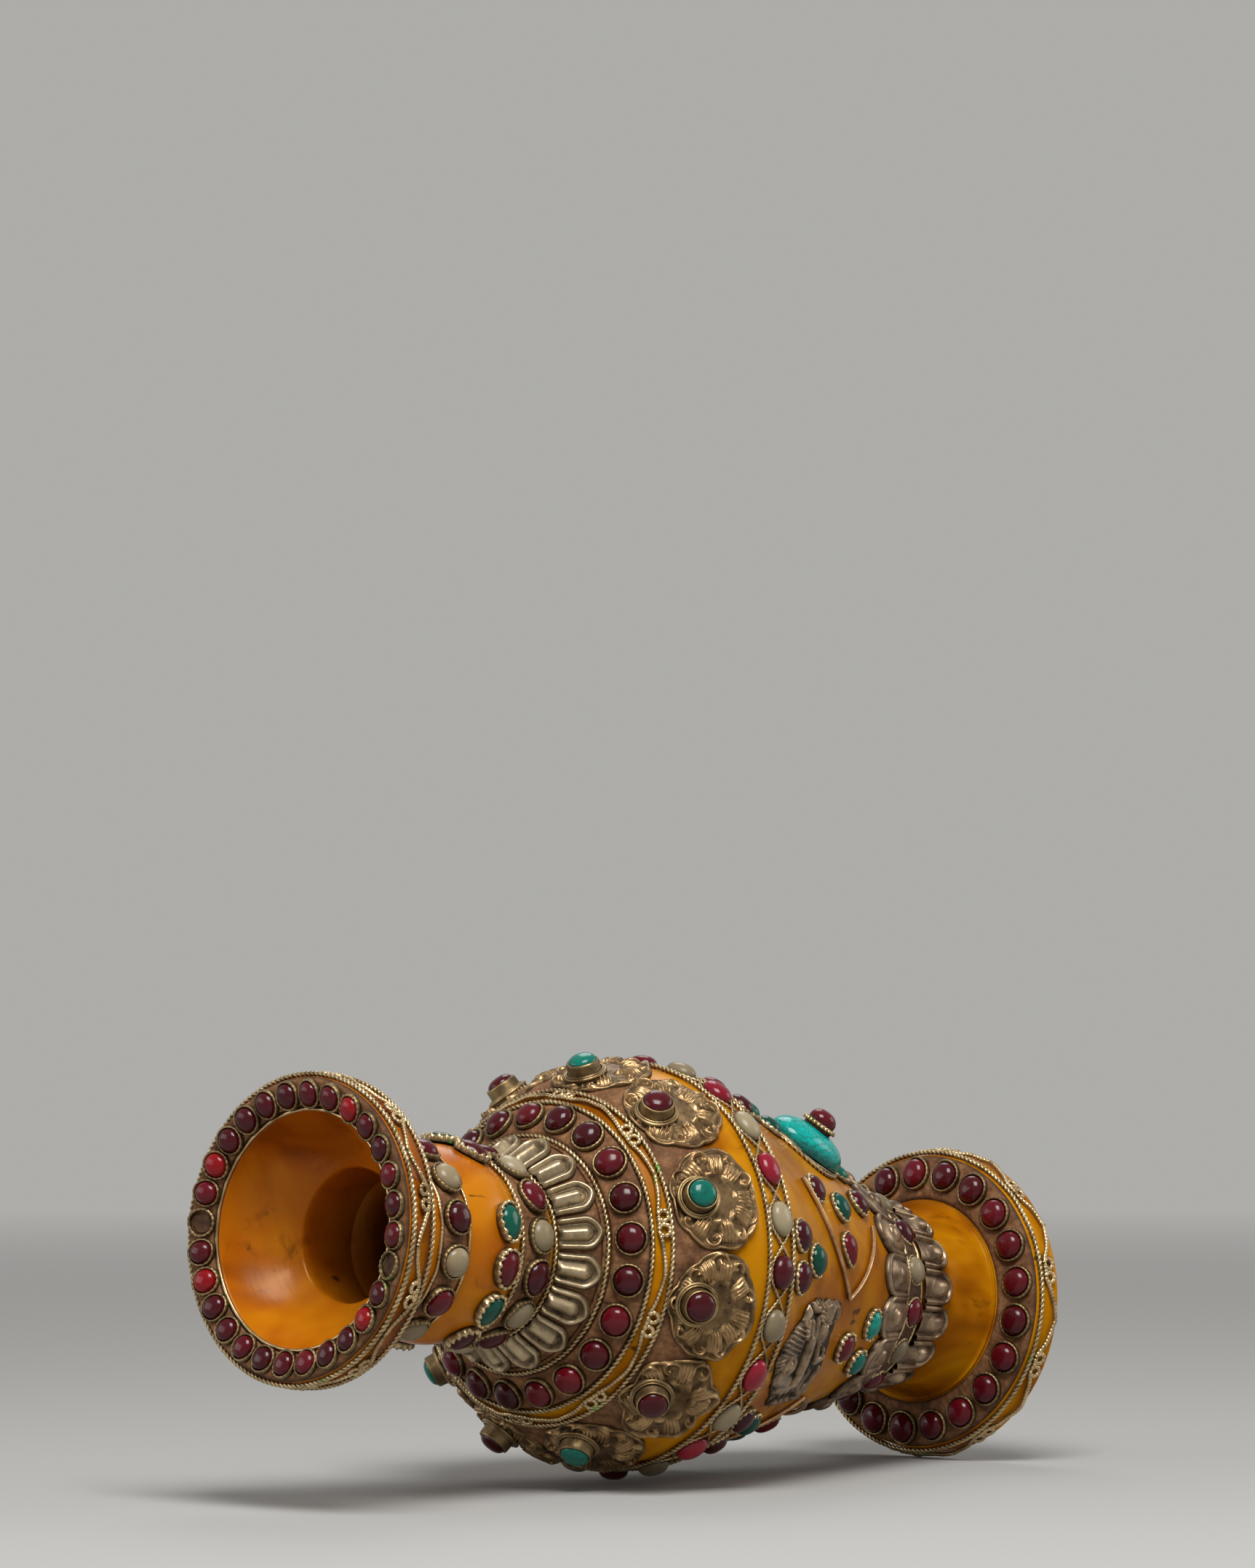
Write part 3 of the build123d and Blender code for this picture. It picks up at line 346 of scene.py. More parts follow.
def tube(mesher, path, radius, closed=False, sides=10, twist=None, lumps=None):
    """A wire along a path; twist gives the pitch of a two-strand rope, lumps that of a beaded wire."""
    path = np.asarray(path, float)
    if closed:
        ahead, behind = np.roll(path, -1, 0), np.roll(path, 1, 0)
    else:
        ahead, behind = np.vstack([path[1:], path[-1:]]), np.vstack([path[:1], path[:-1]])
    run = unit(ahead - behind)
    out = path * (1, 1, 0)
    out -= (out * run).sum(1, keepdims=True) * run
    out /= np.maximum(np.linalg.norm(out, axis=1, keepdims=True), 1e-6)
    side = np.cross(run, out)
    travel = np.cumsum(np.linalg.norm(path - behind, axis=1))
    length = travel[-1]
    a = full_turn(sides)[None, :]
    size = np.full((len(path), sides), float(radius))
    depth = np.zeros_like(size)
    if twist:
        turns = max(1, round(length / twist))
        wave = np.cos(2 * (a - (travel / length * turns * pi)[:, None]))
        size = radius * (0.84 + 0.22 * np.sign(wave) * np.abs(wave) ** 0.8)
        depth = 0.5 - 0.5 * wave
    if lumps:
        beads = max(1, round(length / lumps))
        wave = np.abs(np.cos(travel / length * beads * pi))[:, None] ** 0.7
        size = size * (0.72 + 0.28 * wave)
        depth = np.maximum(depth, 1 - wave)
    spokes = np.cos(a)[..., None] * out[:, None] + np.sin(a)[..., None] * side[:, None]
    # Painted shade: dark in the grooves between strands and beads and on the side facing the vase; the capped
    # ends are darkened a little too.
    grime = np.clip(0.9 * depth ** 2 - 0.25 * np.cos(a), 0, 1)
    index = mesher.grid(path[:, None] + size[..., None] * spokes, 0.0, grime, loop=True, ring=closed)
    if not closed:
        mesher.cap(index[0], path[0], 0.0, 0.3)
        mesher.cap(index[-1], path[-1], 0.0, 0.3, flip=True)


def wire_ring(mesher, spot, width, seed, pitch=2.7, wobble=0.0, **kinds):
    """A wire ring whose middle stands half its width off a seat."""
    r, z, _ = raised(spot, width / 2)
    a = full_turn(max(180, int(2 * pi * r / pitch * 7)))
    lean = wobble * wander(seed, a, low=3, high=24)
    tube(mesher, spun(r, a, z + lean), width / 2, closed=True, **kinds)


def fillet(path, reach=0.5):
    """Softens the corners of a meridian outline and adds support points beside them."""
    soft = [path[0]]
    for before, here, after in zip(path, path[1:], path[2:]):
        p, q, s = (np.array(point, float) for point in (before, here, after))
        u, v = p - q, s - q
        lu, lv = np.linalg.norm(u), np.linalg.norm(v)
        if np.dot(u, v) / (lu * lv) < -0.985:
            soft.append(tuple(q))
            continue
        cut = min(reach, 0.4 * lu, 0.4 * lv)
        u, v = u / lu * cut, v / lv * cut
        for t in (-1.6, -1.0, -0.5, 0.0, 0.5, 1.0, 1.6):
            m = (t + 1) / 2
            curve = (1 - m) ** 2 * (q + u) + 2 * m * (1 - m) * q + m * m * (q + v)
            soft.append(tuple(curve if abs(t) <= 1 else q + (u if t < 0 else v) * abs(t)))
    soft.append(path[-1])
    return soft


def arc_run(a, b, c, steps=24):
    """Points along the arc through three stations."""
    cx, cy, radius = arc_circle(a, b, c)
    start, middle, end = (atan2(y - cy, x - cx) for x, y in (a, b, c))
    if not min(start, end) <= middle <= max(start, end):
        end += 2 * pi if end < start else -2 * pi
    angles = [start + (end - start) * k / steps for k in range(1, steps + 1)]
    return [(cx + radius * cos(angle), cy + radius * sin(angle)) for angle in angles]


def polar_relief(mesher, to_space, radius_at, height_at, around=48, rings=12, tone=0.0, skirt=0.0,
                 grime_and_shade_at=lambda share, a: 0.0):
    """A closed-edge relief: radius_at(angle) is its outline, height_at(share, angle) its surface."""
    a = full_turn(around)[None, :]
    share = np.linspace(0.04, 1.0, rings)[:, None]
    x, y = (share * reach for reach in radius_at(a))
    h = height_at(share, a) * np.ones_like(x)
    grime = grime_and_shade_at(share, a) * np.ones_like(x)
    rows = [np.vstack(pair) for pair in ((x, x[-1:]), (y, y[-1:]), (h, np.full_like(h[-1:], skirt)))]
    # Painted shade: the skirt row, where the relief meets the surface, is fully darkened.
    grimes = np.vstack([grime, np.ones_like(grime[-1:])])
    index = mesher.grid(to_space(*rows), tone, grimes, loop=True)
    mesher.cap(index[0], to_space(0.0, 0.0, float(h[0].mean())), tone, float(grime[0].mean()), flip=True)


def oval_wall(mesher, to_space, halves, rows, uneven, ripple_above, tone):
    """An upright wall round an oval; each row is its step out, height and darkening (painted shade), and high
    rows ripple.
    """
    a = full_turn(len(uneven))
    out, height, grime = np.array(rows).T[..., None]
    h = height + uneven * (height > ripple_above)
    x, y = (halves[0] + out) * np.cos(a), (halves[1] + out) * np.sin(a)
    mesher.grid(to_space(x, y, h), tone, grime, loop=True)


# ---------------------------------------------------------------- stones and their settings
def oval(half_long, half_wide, tips=(0.0, 0.0)):
    """An outline: an ellipse whose upper and lower ends may be drawn into points."""
    sharp = [0.45 * min(1, tip * 2.2) for tip in tips]

    def radius_at(a):
        upper, lower = (1 + np.cos(a)) / 2, (1 - np.cos(a)) / 2
        stretch = 1 + tips[0] * upper ** 3 + tips[1] * lower ** 3
        pinch = 1 - sharp[0] * upper ** 2 - sharp[1] * lower ** 2
        return half_long * stretch * np.cos(a), half_wide * pinch * np.sin(a)
    return radius_at


def cabochon(mesher, to_space, size, tips=(0.0, 0.0), tone=0.0, around=36, rings=10):
    """A rounded stone: a short upright girdle under a domed crown."""
    half_long, half_wide, height = size
    b = np.linspace(0, pi / 2 * 0.97, rings)[:, None]
    px, py = oval(half_long, half_wide, tips)(full_turn(around)[None, :])
    share = np.vstack([[0.97], np.cos(b) ** 0.82])
    rise = np.vstack([[0.0], height * (0.22 + 0.78 * np.sin(b))])
    # Painted shade: the stone's mark rises towards its girdle, darkest at the bottom.
    grime = np.clip(1 - rise / height * 2.2, 0, 1)
    index = mesher.grid(to_space(share * px, share * py, rise), tone, grime, loop=True)
    mesher.cap(index[-1], to_space(0.0, 0.0, height), tone, 0.0)


def bezel(mesher, to_space, size, tips=(0.0, 0.0), around=60, seed=0, rim=0.8, wall=1.3, beads=0, rope=True,
          bold=1.0):
    """The metal collar round a stone: an upright wall with a roped or toothed edge."""
    a = full_turn(around)[None, :]
    px, py = oval(size[0], size[1], tips)(a)
    nx, ny = px / size[0] ** 2, py / size[1] ** 2
    length = np.hypot(nx, ny)
    count = beads or max(12, round((size[0] + size[1]) * pi / 1.25))
    tooth = (0.5 + 0.5 * np.cos(count * a + 0.7)) * (bold if rope else 0.4)
    uneven = 0.12 * np.sin(2 * a + seed) + 0.08 * np.sin(3 * a + 2.1 * seed)
    # Painted shade: the wall's foot, its inner side and the gaps between its teeth carry the darkening mark.
    rows = ((rim * 1.05, -0.1, 1),
            (rim + 0.10 * tooth, wall * 0.45 + uneven, 0.55 - 0.2 * tooth),
            (rim * 0.94 + 0.16 * tooth, wall * (0.80 + 0.08 * tooth) + uneven, 0.5 - 0.5 * tooth),
            (rim * 0.6 + 0.05 * tooth, wall * (0.96 + 0.16 * tooth) + uneven, 0.25 - 0.25 * tooth),
            (rim * 0.22 - 0.12 * tooth, wall * (0.84 + 0.1 * tooth) + uneven, 0.7 - 0.3 * tooth),
            (0.04, wall * 0.2, 1))
    out, rise, grime = (np.vstack([row[k] + 0 * a for row in rows]) for k in range(3))
    points = to_space(px + out * nx / length, py + out * ny / length, rise)
    mesher.grid(points, (seed * 0.37) % 1.0, np.clip(grime, 0, 1), loop=True)


def set_stones(name, finish, node, size, spot, azimuths, metal=None, tips=(0.0, 0.0), turns=(0.0,),
               tones=None, lift=0.0, **edge):
    """Cabochons in place of one CAD node, each with its own small differences, and their bezels."""
    mesher = Mesher()
    rng = np.random.default_rng(sum(map(ord, name)))
    spots = spot if isinstance(spot, list) else [spot] * len(azimuths)
    for k, (place, azimuth) in enumerate(zip(spots, azimuths)):
        turn = turns[k % len(turns)] + rng.uniform(-8, 8) * (size[0] != size[1])
        nudge = rng.uniform(-STONE_JITTER, STONE_JITTER, 2)
        half_long, half_wide = (size[i] * (1 + nudge[i]) - STONE_INSET for i in (0, 1))
        grown = (half_long, half_wide, size[2] * (1 + 0.5 * nudge[0]))
        tone = tones[k % len(tones)] if tones else rng.uniform(0, 1)
        cabochon(mesher, tangent(raised(place, lift), azimuth, turn), grown, tips, tone)
        if metal is not None:
            bezel(metal, tangent(place, azimuth, turn), grown, tips, 96, k + len(name), **edge)
    mesher.piece(name, finish, node)


# ---------------------------------------------------------------- materials
def srgb(r, g, b):
    """A screen colour (0 to 255) as a linear one."""
    def lift(v):
        v = v / 255
        return v / 12.92 if v <= 0.04045 else ((v + 0.055) / 1.055) ** 2.4
    return (lift(r), lift(g), lift(b), 1.0)


def feed(socket, value):
    """Links a socket to another one's output, or gives it a plain value."""
    if isinstance(value, bpy.types.NodeSocket):
        socket.id_data.links.new(value, socket)
    else:
        socket.default_value = value


class Nodes:
    """A short hand for building one node tree."""

    def __init__(self, owner):
        owner.use_nodes = True
        self.tree = owner.node_tree

    def node(self, kind, inputs=None, **settings):
        made = self.tree.nodes.new(kind)
        for key, value in settings.items():
            setattr(made, key, value)
        for key, value in (inputs or {}).items():
            feed(made.inputs[key], value)
        return made

    def math(self, kind, a, b):
        return self.node("ShaderNodeMath", {0: a, 1: b}, operation=kind, use_clamp=True).outputs["Value"]

    def blend(self, share, a, b):
        return self.node("ShaderNodeMixShader", {0: share, 1: a, 2: b}).outputs[0]


class Paint(Nodes):
    """One procedural material, painted by position on the object."""

    def __init__(self, name):
        self.material = bpy.data.materials.new(name)
        super().__init__(self.material)
        self.shader = self.tree.nodes["Principled BSDF"]
        self.position = self.node("ShaderNodeTexCoord").outputs["Object"]

    def noise(self, scale, detail=4.0, rough=0.6, distort=0.0, squash=None):
        source = self.position
        if squash:
            source = self.node("ShaderNodeMapping", {"Scale": squash, "Vector": source}).outputs["Vector"]
        inputs = {"Vector": source, "Scale": scale, "Detail": detail}
        inputs.update({"Roughness": rough, "Distortion": distort})
        return self.node("ShaderNodeTexNoise", inputs).outputs["Fac"]

    def attribute(self, name):
        return self.node("ShaderNodeAttribute", attribute_name=name).outputs["Fac"]

    def ramp(self, source, stops):
        made = self.node("ShaderNodeValToRGB", {"Fac": source})
        elements = made.color_ramp.elements
        while len(elements) < len(stops):
            elements.new(0.5)
        for element, (place, colour) in zip(elements, stops):
            element.position = place
            element.color = srgb(*colour)
        return made.outputs["Color"]

    def levels(self, source, low, high, start=0.0, end=1.0):
        inputs = {"Value": source, "From Min": low, "From Max": high, "To Min": start, "To Max": end}
        return self.node("ShaderNodeMapRange", inputs).outputs["Result"]

    def add(self, a, b):
        return self.math("ADD", a, b)

    def scale(self, a, b):
        return self.math("MULTIPLY", a, b)

    def mix(self, share, base, colour):
        return self.node("ShaderNodeMix", {0: share, 6: base, 7: srgb(*colour)}, data_type="RGBA").outputs[2]

    def bump(self, height, strength, distance):
        inputs = {"Strength": strength, "Distance": distance, "Height": height}
        self.set(Normal=self.node("ShaderNodeBump", inputs).outputs["Normal"])

    def set(self, **values):
        for key, value in values.items():
            feed(self.shader.inputs[key.replace("_", " ")], value)


def amber_material(name, deep, honey, pale, darkest, gloss=0.24):
    """Polished resin: cloudy honey colour, dark flecks and stains, fine scratches."""
    n = Paint(name)
    grime = n.attribute("grime")
    body = n.ramp(n.noise(24, 3, 0.55, 0.6), [(0.33, deep), (0.45, honey), (0.57, pale)])
    stains = n.levels(n.noise(38, 6, 0.68, 1.4), 0.57, 0.70)
    body = n.mix(n.scale(stains, 0.55), body, darkest)
    flecks = n.levels(n.noise(160, 2, 0.5, 0.0, (1.0, 1.0, 0.35)), 0.70, 0.73)
    body = n.mix(n.scale(flecks, 0.75), body, (38, 16, 6))
    # Painted shade: the throat, the inner cavity and the foot's underside are mixed towards near black here.
    body = n.mix(grime, body, (34, 10, 3))
    smear = n.levels(n.noise(60, 5, 0.6, 0.3), 0.3, 0.75, 0.16, 0.34)
    scratches = n.noise(150, 3, 0.6, 2.0, (0.25, 0.25, 3.0))
    n.bump(n.add(n.scale(scratches, 0.5), n.scale(n.noise(25, 2), 0.5)), 0.12, 0.0008)
    n.set(Base_Color=body, Roughness=n.add(smear, n.scale(grime, 0.35)),
          Subsurface_Weight=0.1, Subsurface_Scale=0.004, Subsurface_Radius=(1.0, 0.4, 0.08),
          Specular_IOR_Level=gloss, Specular_Tint=(1.0, 0.78, 0.5, 1.0))
    return n.material, "amber"


def metal_material(name, slot, bright, dull, grime, verdigris=0.0, rough=(0.30, 0.55), bump=0.25):
    """Worn metal: bright on its high places, dull and grimy in its low ones, which also carry painted shade.
    """
    n = Paint(name)
    base = n.ramp(n.noise(140, 5, 0.62), [(0.34, dull), (0.62, bright)])
    # Soiling noise plus the per-point mark, whose darkening in hollows, gaps and on the side facing the vase
    # is painted shade.
    dirt_and_shade = n.add(n.attribute("grime"), n.levels(n.noise(420, 4, 0.7), 0.52, 0.75, 0.0, 0.55))
    base = n.mix(n.scale(dirt_and_shade, 0.93), base, grime)
    if verdigris:
        spots = n.levels(n.noise(95, 3, 0.5), 0.66, 0.72, 0.0, verdigris)
        base = n.mix(spots, base, (60, 150, 60))
    n.bump(n.noise(700, 4, 0.65), bump, 0.0003)
    n.set(Base_Color=base, Roughness=n.levels(dirt_and_shade, 0.0, 1.0, *rough), Metallic=0.9)
    return n.material, slot


def paste_material():
    """Dull brown setting paste with a dusty, pitted surface."""
    n = Paint("setting_paste")
    stops = [(0.30, (66, 40, 22)), (0.50, (116, 78, 48)), (0.70, (158, 114, 76))]
    base = n.ramp(n.noise(230, 6, 0.72), stops)
    # Painted shade: the paste is mixed towards dark brown by the per-point mark, at band edges where it meets
    # wires and stones.
    base = n.mix(n.scale(n.attribute("grime"), 0.85), base, (32, 20, 14))
    n.bump(n.add(n.scale(n.noise(520, 5, 0.7), 0.6), n.scale(n.noise(120, 3), 0.5)), 0.55, 0.0006)
    n.set(Base_Color=base, Roughness=n.levels(n.noise(300, 3), 0.3, 0.7, 0.62, 0.85), Specular_IOR_Level=0.25)
    return n.material, "paste"


def stone_material(name, slot, dark, middle, light, rough=(0.10, 0.24), cloud=90, veins=None):
    """A polished cabochon; each stone's tone shifts its colour, and its girdle is darkened, partly as soiling
    and partly as painted shade where the bezel meets it.
    """
    n = Paint(name)
    cloudy = n.add(n.scale(n.attribute("tone"), 0.62), n.scale(n.noise(cloud, 4, 0.6), 0.38))
    base = n.ramp(cloudy, [(0.12, dark), (0.48, middle), (0.86, light)])
    if veins:
        grain = n.noise(170, 5, 0.7, 2.4)
        thin = n.scale(n.levels(grain, 0.53, 0.50), n.levels(grain, 0.46, 0.49))
        base = n.mix(n.scale(thin, veins), base, (25, 45, 40))
    # Painted shade, broken up by noise: the stone is darkened low down round its girdle.
    edge = n.scale(n.attribute("grime"), n.levels(n.noise(260, 4, 0.7), 0.25, 0.6, 0.35, 1.0))
    base = n.mix(n.scale(edge, 0.85), base, (25, 18, 14))
    n.bump(n.noise(240, 4, 0.6), 0.12, 0.0003)
    n.set(Base_Color=base, Roughness=n.levels(n.noise(180, 4), 0.3, 0.7, *rough), Specular_IOR_Level=0.32)
    return n.material, slot


# Each finish is a material paired with a slot name
AMBER = amber_material("amber", (118, 60, 2), (162, 94, 3), (192, 126, 6), (54, 19, 3), gloss=0.08)
AMBER_ORANGE = amber_material("amber_orange", (132, 62, 3), (170, 90, 5), (192, 116, 12), (56, 20, 4))
BRASS = metal_material("antique_brass", "antique_brass", (220, 194, 146), (152, 124, 86), (28, 20, 13), 0.6)
DULL_BRASS = metal_material("dull_brass", "antique_brass", (176, 150, 106), (112, 90, 60), (28, 20, 13), 0.4,
                            (0.36, 0.6))
COPPER_WIRE = metal_material("coppery_wire", "antique_brass", (214, 170, 122), (160, 116, 78), (40, 26, 16))
PEWTER = metal_material("pewter", "pewter", (196, 176, 142), (154, 134, 104), (38, 28, 19),
                        rough=(0.36, 0.56))
DARK_PEWTER = metal_material("dark_pewter", "pewter", (184, 158, 128), (108, 86, 66), (20, 14, 10),
                             rough=(0.30, 0.58))
COPPER_SHEET = metal_material("copper_sheet", "copper_sheet", (184, 150, 106), (126, 98, 64), (34, 23, 14),
                              rough=(0.34, 0.58), bump=0.35)
PASTE = paste_material()
GARNET = stone_material("garnet", "garnet", (52, 3, 10), (72, 5, 15), (100, 9, 23))
RED = stone_material("bright_red", "garnet", (98, 2, 10), (130, 4, 14), (158, 8, 22))
PINK = stone_material("pink_red", "pink_stone", (116, 12, 30), (142, 22, 42), (164, 40, 58))
GREEN = stone_material("dark_green", "green_stone", (0, 46, 36), (0, 74, 58), (4, 98, 78))
TURQUOISE = stone_material("turquoise", "turquoise", (0, 88, 74), (0, 118, 102), (6, 150, 134),
                           cloud=60, veins=0.5)
DOME_TURQUOISE = stone_material("dome_turquoise", "turquoise", (0, 128, 120), (2, 168, 158), (26, 202, 192),
                                cloud=60, veins=0.75)
CREAM = stone_material("cream", "cream_stone", (106, 92, 68), (140, 125, 96), (168, 153, 122), (0.18, 0.36))


# ---------------------------------------------------------------- amber turnings
TURNING_POINTS, TURNING_RIPPLE = 288, 0.07


def turning(name, finish, node, outline, seed, shade):
    """Turns a meridian outline round the vase's axis, with a hand-turned ripple."""
    r, z = np.array(outline, float).T[..., None]
    a = full_turn(TURNING_POINTS)
    ripple = TURNING_RIPPLE * wander(seed, a[None, :], z, 2, 11) * (r > 1)
    grime = np.array([shade(*row) for row in outline])[:, None]
    mesher = Mesher()
    mesher.grid(spun(r + ripple, a, z), 0.0, grime, loop=True)
    mesher.piece(name, finish, node)


def throat_shade(r, z):
    """Painted shade inside the vase: none at the throat's step, darker further in."""
    rows = (FOOT_TOP, JOINT_1, CONE_TOP, BELLY, SHOULDER, BAND_LOW, BAND_HIGH, COLLAR_LOW, COLLAR_HIGH)
    skin = np.interp(z, [row[1] for row in rows], [row[0] for row in rows])
    inside = r < THROAT_R + 0.5 if z > COLLAR_LOW[1] else r < skin - WALL / 2 and z > JOINT_1[1] + 5
    return 0.98 * min(1.0, max(0.0, (THROAT[1] - z) / 34.0)) ** 1.5 if inside else 0.0


def underside_shade(r, z):
    """The foot's underside is worn dull, and its colour is darkened as painted shade."""
    return 0.75 if z < FOOT_RECESS_DEPTH + 0.1 and r < FOOT_R - 0.6 else 0.0


def make_amber():
    step = (GROOVE[0] - FOOT_STEP, GROOVE[1] + FOOT_STEP)
    dip = ((step[0] + WAIST[0]) / 2 - FOOT_FLARE_DIP, (step[1] + WAIST[1]) / 2)
    recess = [(0.01, FOOT_RECESS_DEPTH), (FOOT_RECESS_R, FOOT_RECESS_DEPTH), (FOOT_RECESS_R + 2, 0.0)]
    outline = fillet(recess + [FLOOR_EDGE, FOOT_TOP, GROOVE, (GROOVE[0], step[1]), step])
    outline += arc_run(step, dip, WAIST) + [(WAIST_R, JOINT_1[1])]
    turning("amber_foot_turning", AMBER, "amber_foot", outline, 5, underside_shade)

    outline = [JOINT_1, ((JOINT_1[0] + CONE_TOP[0]) / 2, (JOINT_1[1] + CONE_TOP[1]) / 2), CONE_TOP]
    outline += arc_run(CONE_TOP, BELLY, SHOULDER, 40)
    corners = [SHOULDER, BAND_LOW, BAND_HIGH, COLLAR_LOW, COLLAR_HIGH, (THROAT_R, COLLAR_HIGH[1])]
    outline += fillet(corners)[1:]
    inner = [(THROAT_R, COLLAR_HIGH[1] - 1), (THROAT_R, BAND_HIGH[1]),
             (SHOULDER[0] - 1.3 * WALL, SHOULDER[1] - WALL / 2), (BELLY[0] - WALL, BELLY[1]),
             (CONE_TOP[0] - WALL, CONE_TOP[1]), (WAIST_R - WALL, CAVITY_FLOOR_Z), (0.01, CAVITY_FLOOR_Z)]
    turning("amber_body_turning", AMBER, "amber_body", outline + fillet(inner, 1.0), 8, throat_shade)

    outline = [COLLAR_HIGH] + arc_run(COLLAR_HIGH, TORUS_MID, NECK_LOW, 30)
    outline += [(THROAT_R, NECK_LOW[1]), (THROAT_R, COLLAR_HIGH[1])]
    turning("amber_torus_turning", AMBER_ORANGE, "amber_torus_collar", outline, 11, throat_shade)

    flare_mid = (NECK_HIGH[0] + (RIM_LOW[0] - NECK_HIGH[0]) * 0.42, NECK_HIGH[1] + FLARE_H * 0.62)
    funnel_mid = (LIP[0] - 0.42 * (LIP[0] - THROAT[0]), LIP[1] - 0.58 * FUNNEL_H)
    outline = [NECK_LOW, NECK_HIGH] + arc_run(NECK_HIGH, flare_mid, RIM_LOW)
    outline += fillet([RIM_LOW, RIM_HIGH, LIP, arc_run(LIP, funnel_mid, THROAT)[0]])[1:]
    outline += arc_run(LIP, funnel_mid, THROAT, 40)[2:]
    outline += [(THROAT_R - narrow, THROAT[1] - down) for narrow, down in ((0.35, 0.6), (0.2, 3), (0, 8))]
    outline += [(THROAT_R, NECK_LOW[1])]
    turning("amber_mouth_turning", AMBER_ORANGE, "amber_mouth", outline, 14, throat_shade)


# ---------------------------------------------------------------- paste
MEDALLION_PASTE_Z, PASTE_POINTS = 161.0, 420
CUP_GRIME = (2.9, 2.8)
PASTE_BANDS = (
    ("mouth_paste", "mouth_paste_band", RIM_HIGH, LIP, 0.01, 0.87, PASTE_T),
    ("neck_paste", "neck_paste_band", NECK_LOW, NECK_HIGH, 0.07, 0.74, THIN_PASTE_T),
    ("collar_paste", "collar_paste_band", COLLAR_LOW, COLLAR_HIGH, 0.11, 0.89, THIN_PASTE_T),
    ("petal_paste", "petal_paste_band", BAND_HIGH, COLLAR_LOW, 0.04, 0.92, THIN_PASTE_T),
    ("shoulder_paste", "shoulder_paste_band", BAND_LOW, BAND_HIGH, 0.10, 0.88, PASTE_T),
    ("foot_paste", "foot_paste_band", FOOT_TOP, GROOVE, 0.02, 0.97, PASTE_T),
    ("shoulder_corner_paste", None, BAND_LOW, BAND_HIGH, 0.955, 1.04, 0.75),
    ("waist_paste", None, JOINT_1, CONE_TOP, 0.085, 0.215, 0.9, 0.8))


def paste_band(seed, name, node, low, high, start, end, thick, dark=0.0):
    """A lumpy band of paste with soft edges."""
    half = hypot(high[0] - low[0], high[1] - low[1]) * (end - start) / 2
    middle = (start + end) / 2
    a = full_turn(PASTE_POINTS)[None, :]
    across = np.linspace(-1, 1, 15)[:, None]
    edge = np.clip((1 - np.abs(across)) * 6, 0, 1) ** 0.5
    lump = 0.13 * wander(seed, a, across * 5, 20, 150, 14)
    h = GAP + (thick - 0.15 + lump) * edge - (1 - edge) * 0.1
    points = band_drape(low, high, middle, 0.0)(across * half, -a * seat(low, high, middle)[0], h)
    mesher = Mesher()
    # Painted shade along the band's edges; dark sets a darkening over the whole band.
    mesher.grid(points, 0.0, np.maximum(1 - edge, dark), loop=True)
    mesher.piece(name, PASTE, node)


def make_paste():
    for seed, band in enumerate(PASTE_BANDS, 21):
        paste_band(seed, *band)
    mesher = Mesher()
    for azimuth in ring_places(MOUTH_RING, EMPTY_MOUTH_PLACES):
        place = tangent(seat(RIM_HIGH, LIP, MOUTH_SHARE, PASTE_T), azimuth)
        polar_relief(mesher, place, oval(*CUP_GRIME), lambda share, a: 0.35 + 0.2 * np.sin(3 * a) * share,
                     grime_and_shade_at=lambda share, a: 1.0 - 0.3 * share)
    mesher.piece("empty_cup_grime", PASTE)

    mesher = Mesher()
    a = full_turn(PASTE_POINTS)[None, :]
    share = np.linspace(0, 1, 14)[:, None]
    low_edge = MEDALLION_PASTE_Z + 2.2 * wander(31, a, 0, 5, 30)
    height = low_edge + (SHOULDER[1] - 1.2 - low_edge) * share
    cr, cz, radius = BELLY_ARC
    tilt = np.arcsin((height - cz) / radius)
    edge = np.clip(np.minimum(share, 1 - share) * 9, 0, 1)
    reach = radius + 0.05 + (0.55 + 0.2 * wander(32, a, height, 10, 90)) * edge
    mesher.grid(spun(cr + reach * np.cos(tilt), a, cz + reach * np.sin(tilt)), 0.0, 0.1, loop=True)
    mesher.piece("medallion_paste", PASTE)


# ---------------------------------------------------------------- wires
ZIGZAG_RING, ZIGZAG_W, ZIGZAG_R, ZIGZAG_LIFT, CURL_R = (10, -49.0), 1.1, 0.72, 0.95, 1.45
ROPE_TWIST, ROPE_PITCH, NECK_BEAD, ZIGZAG_BEAD = 1.6, 1.7, 1.1, 1.15


def ring_piece(name, node, width, spots, **kinds):
    mesher = Mesher()
    for seed, spot in enumerate(spots, 40):
        wire_ring(mesher, spot, width, seed, **kinds)
    mesher.piece(name, BRASS, node)


def seats(low, high, *shares):
    """Places for wires on a straight band."""
    return [seat(low, high, share, GAP) for share in shares]


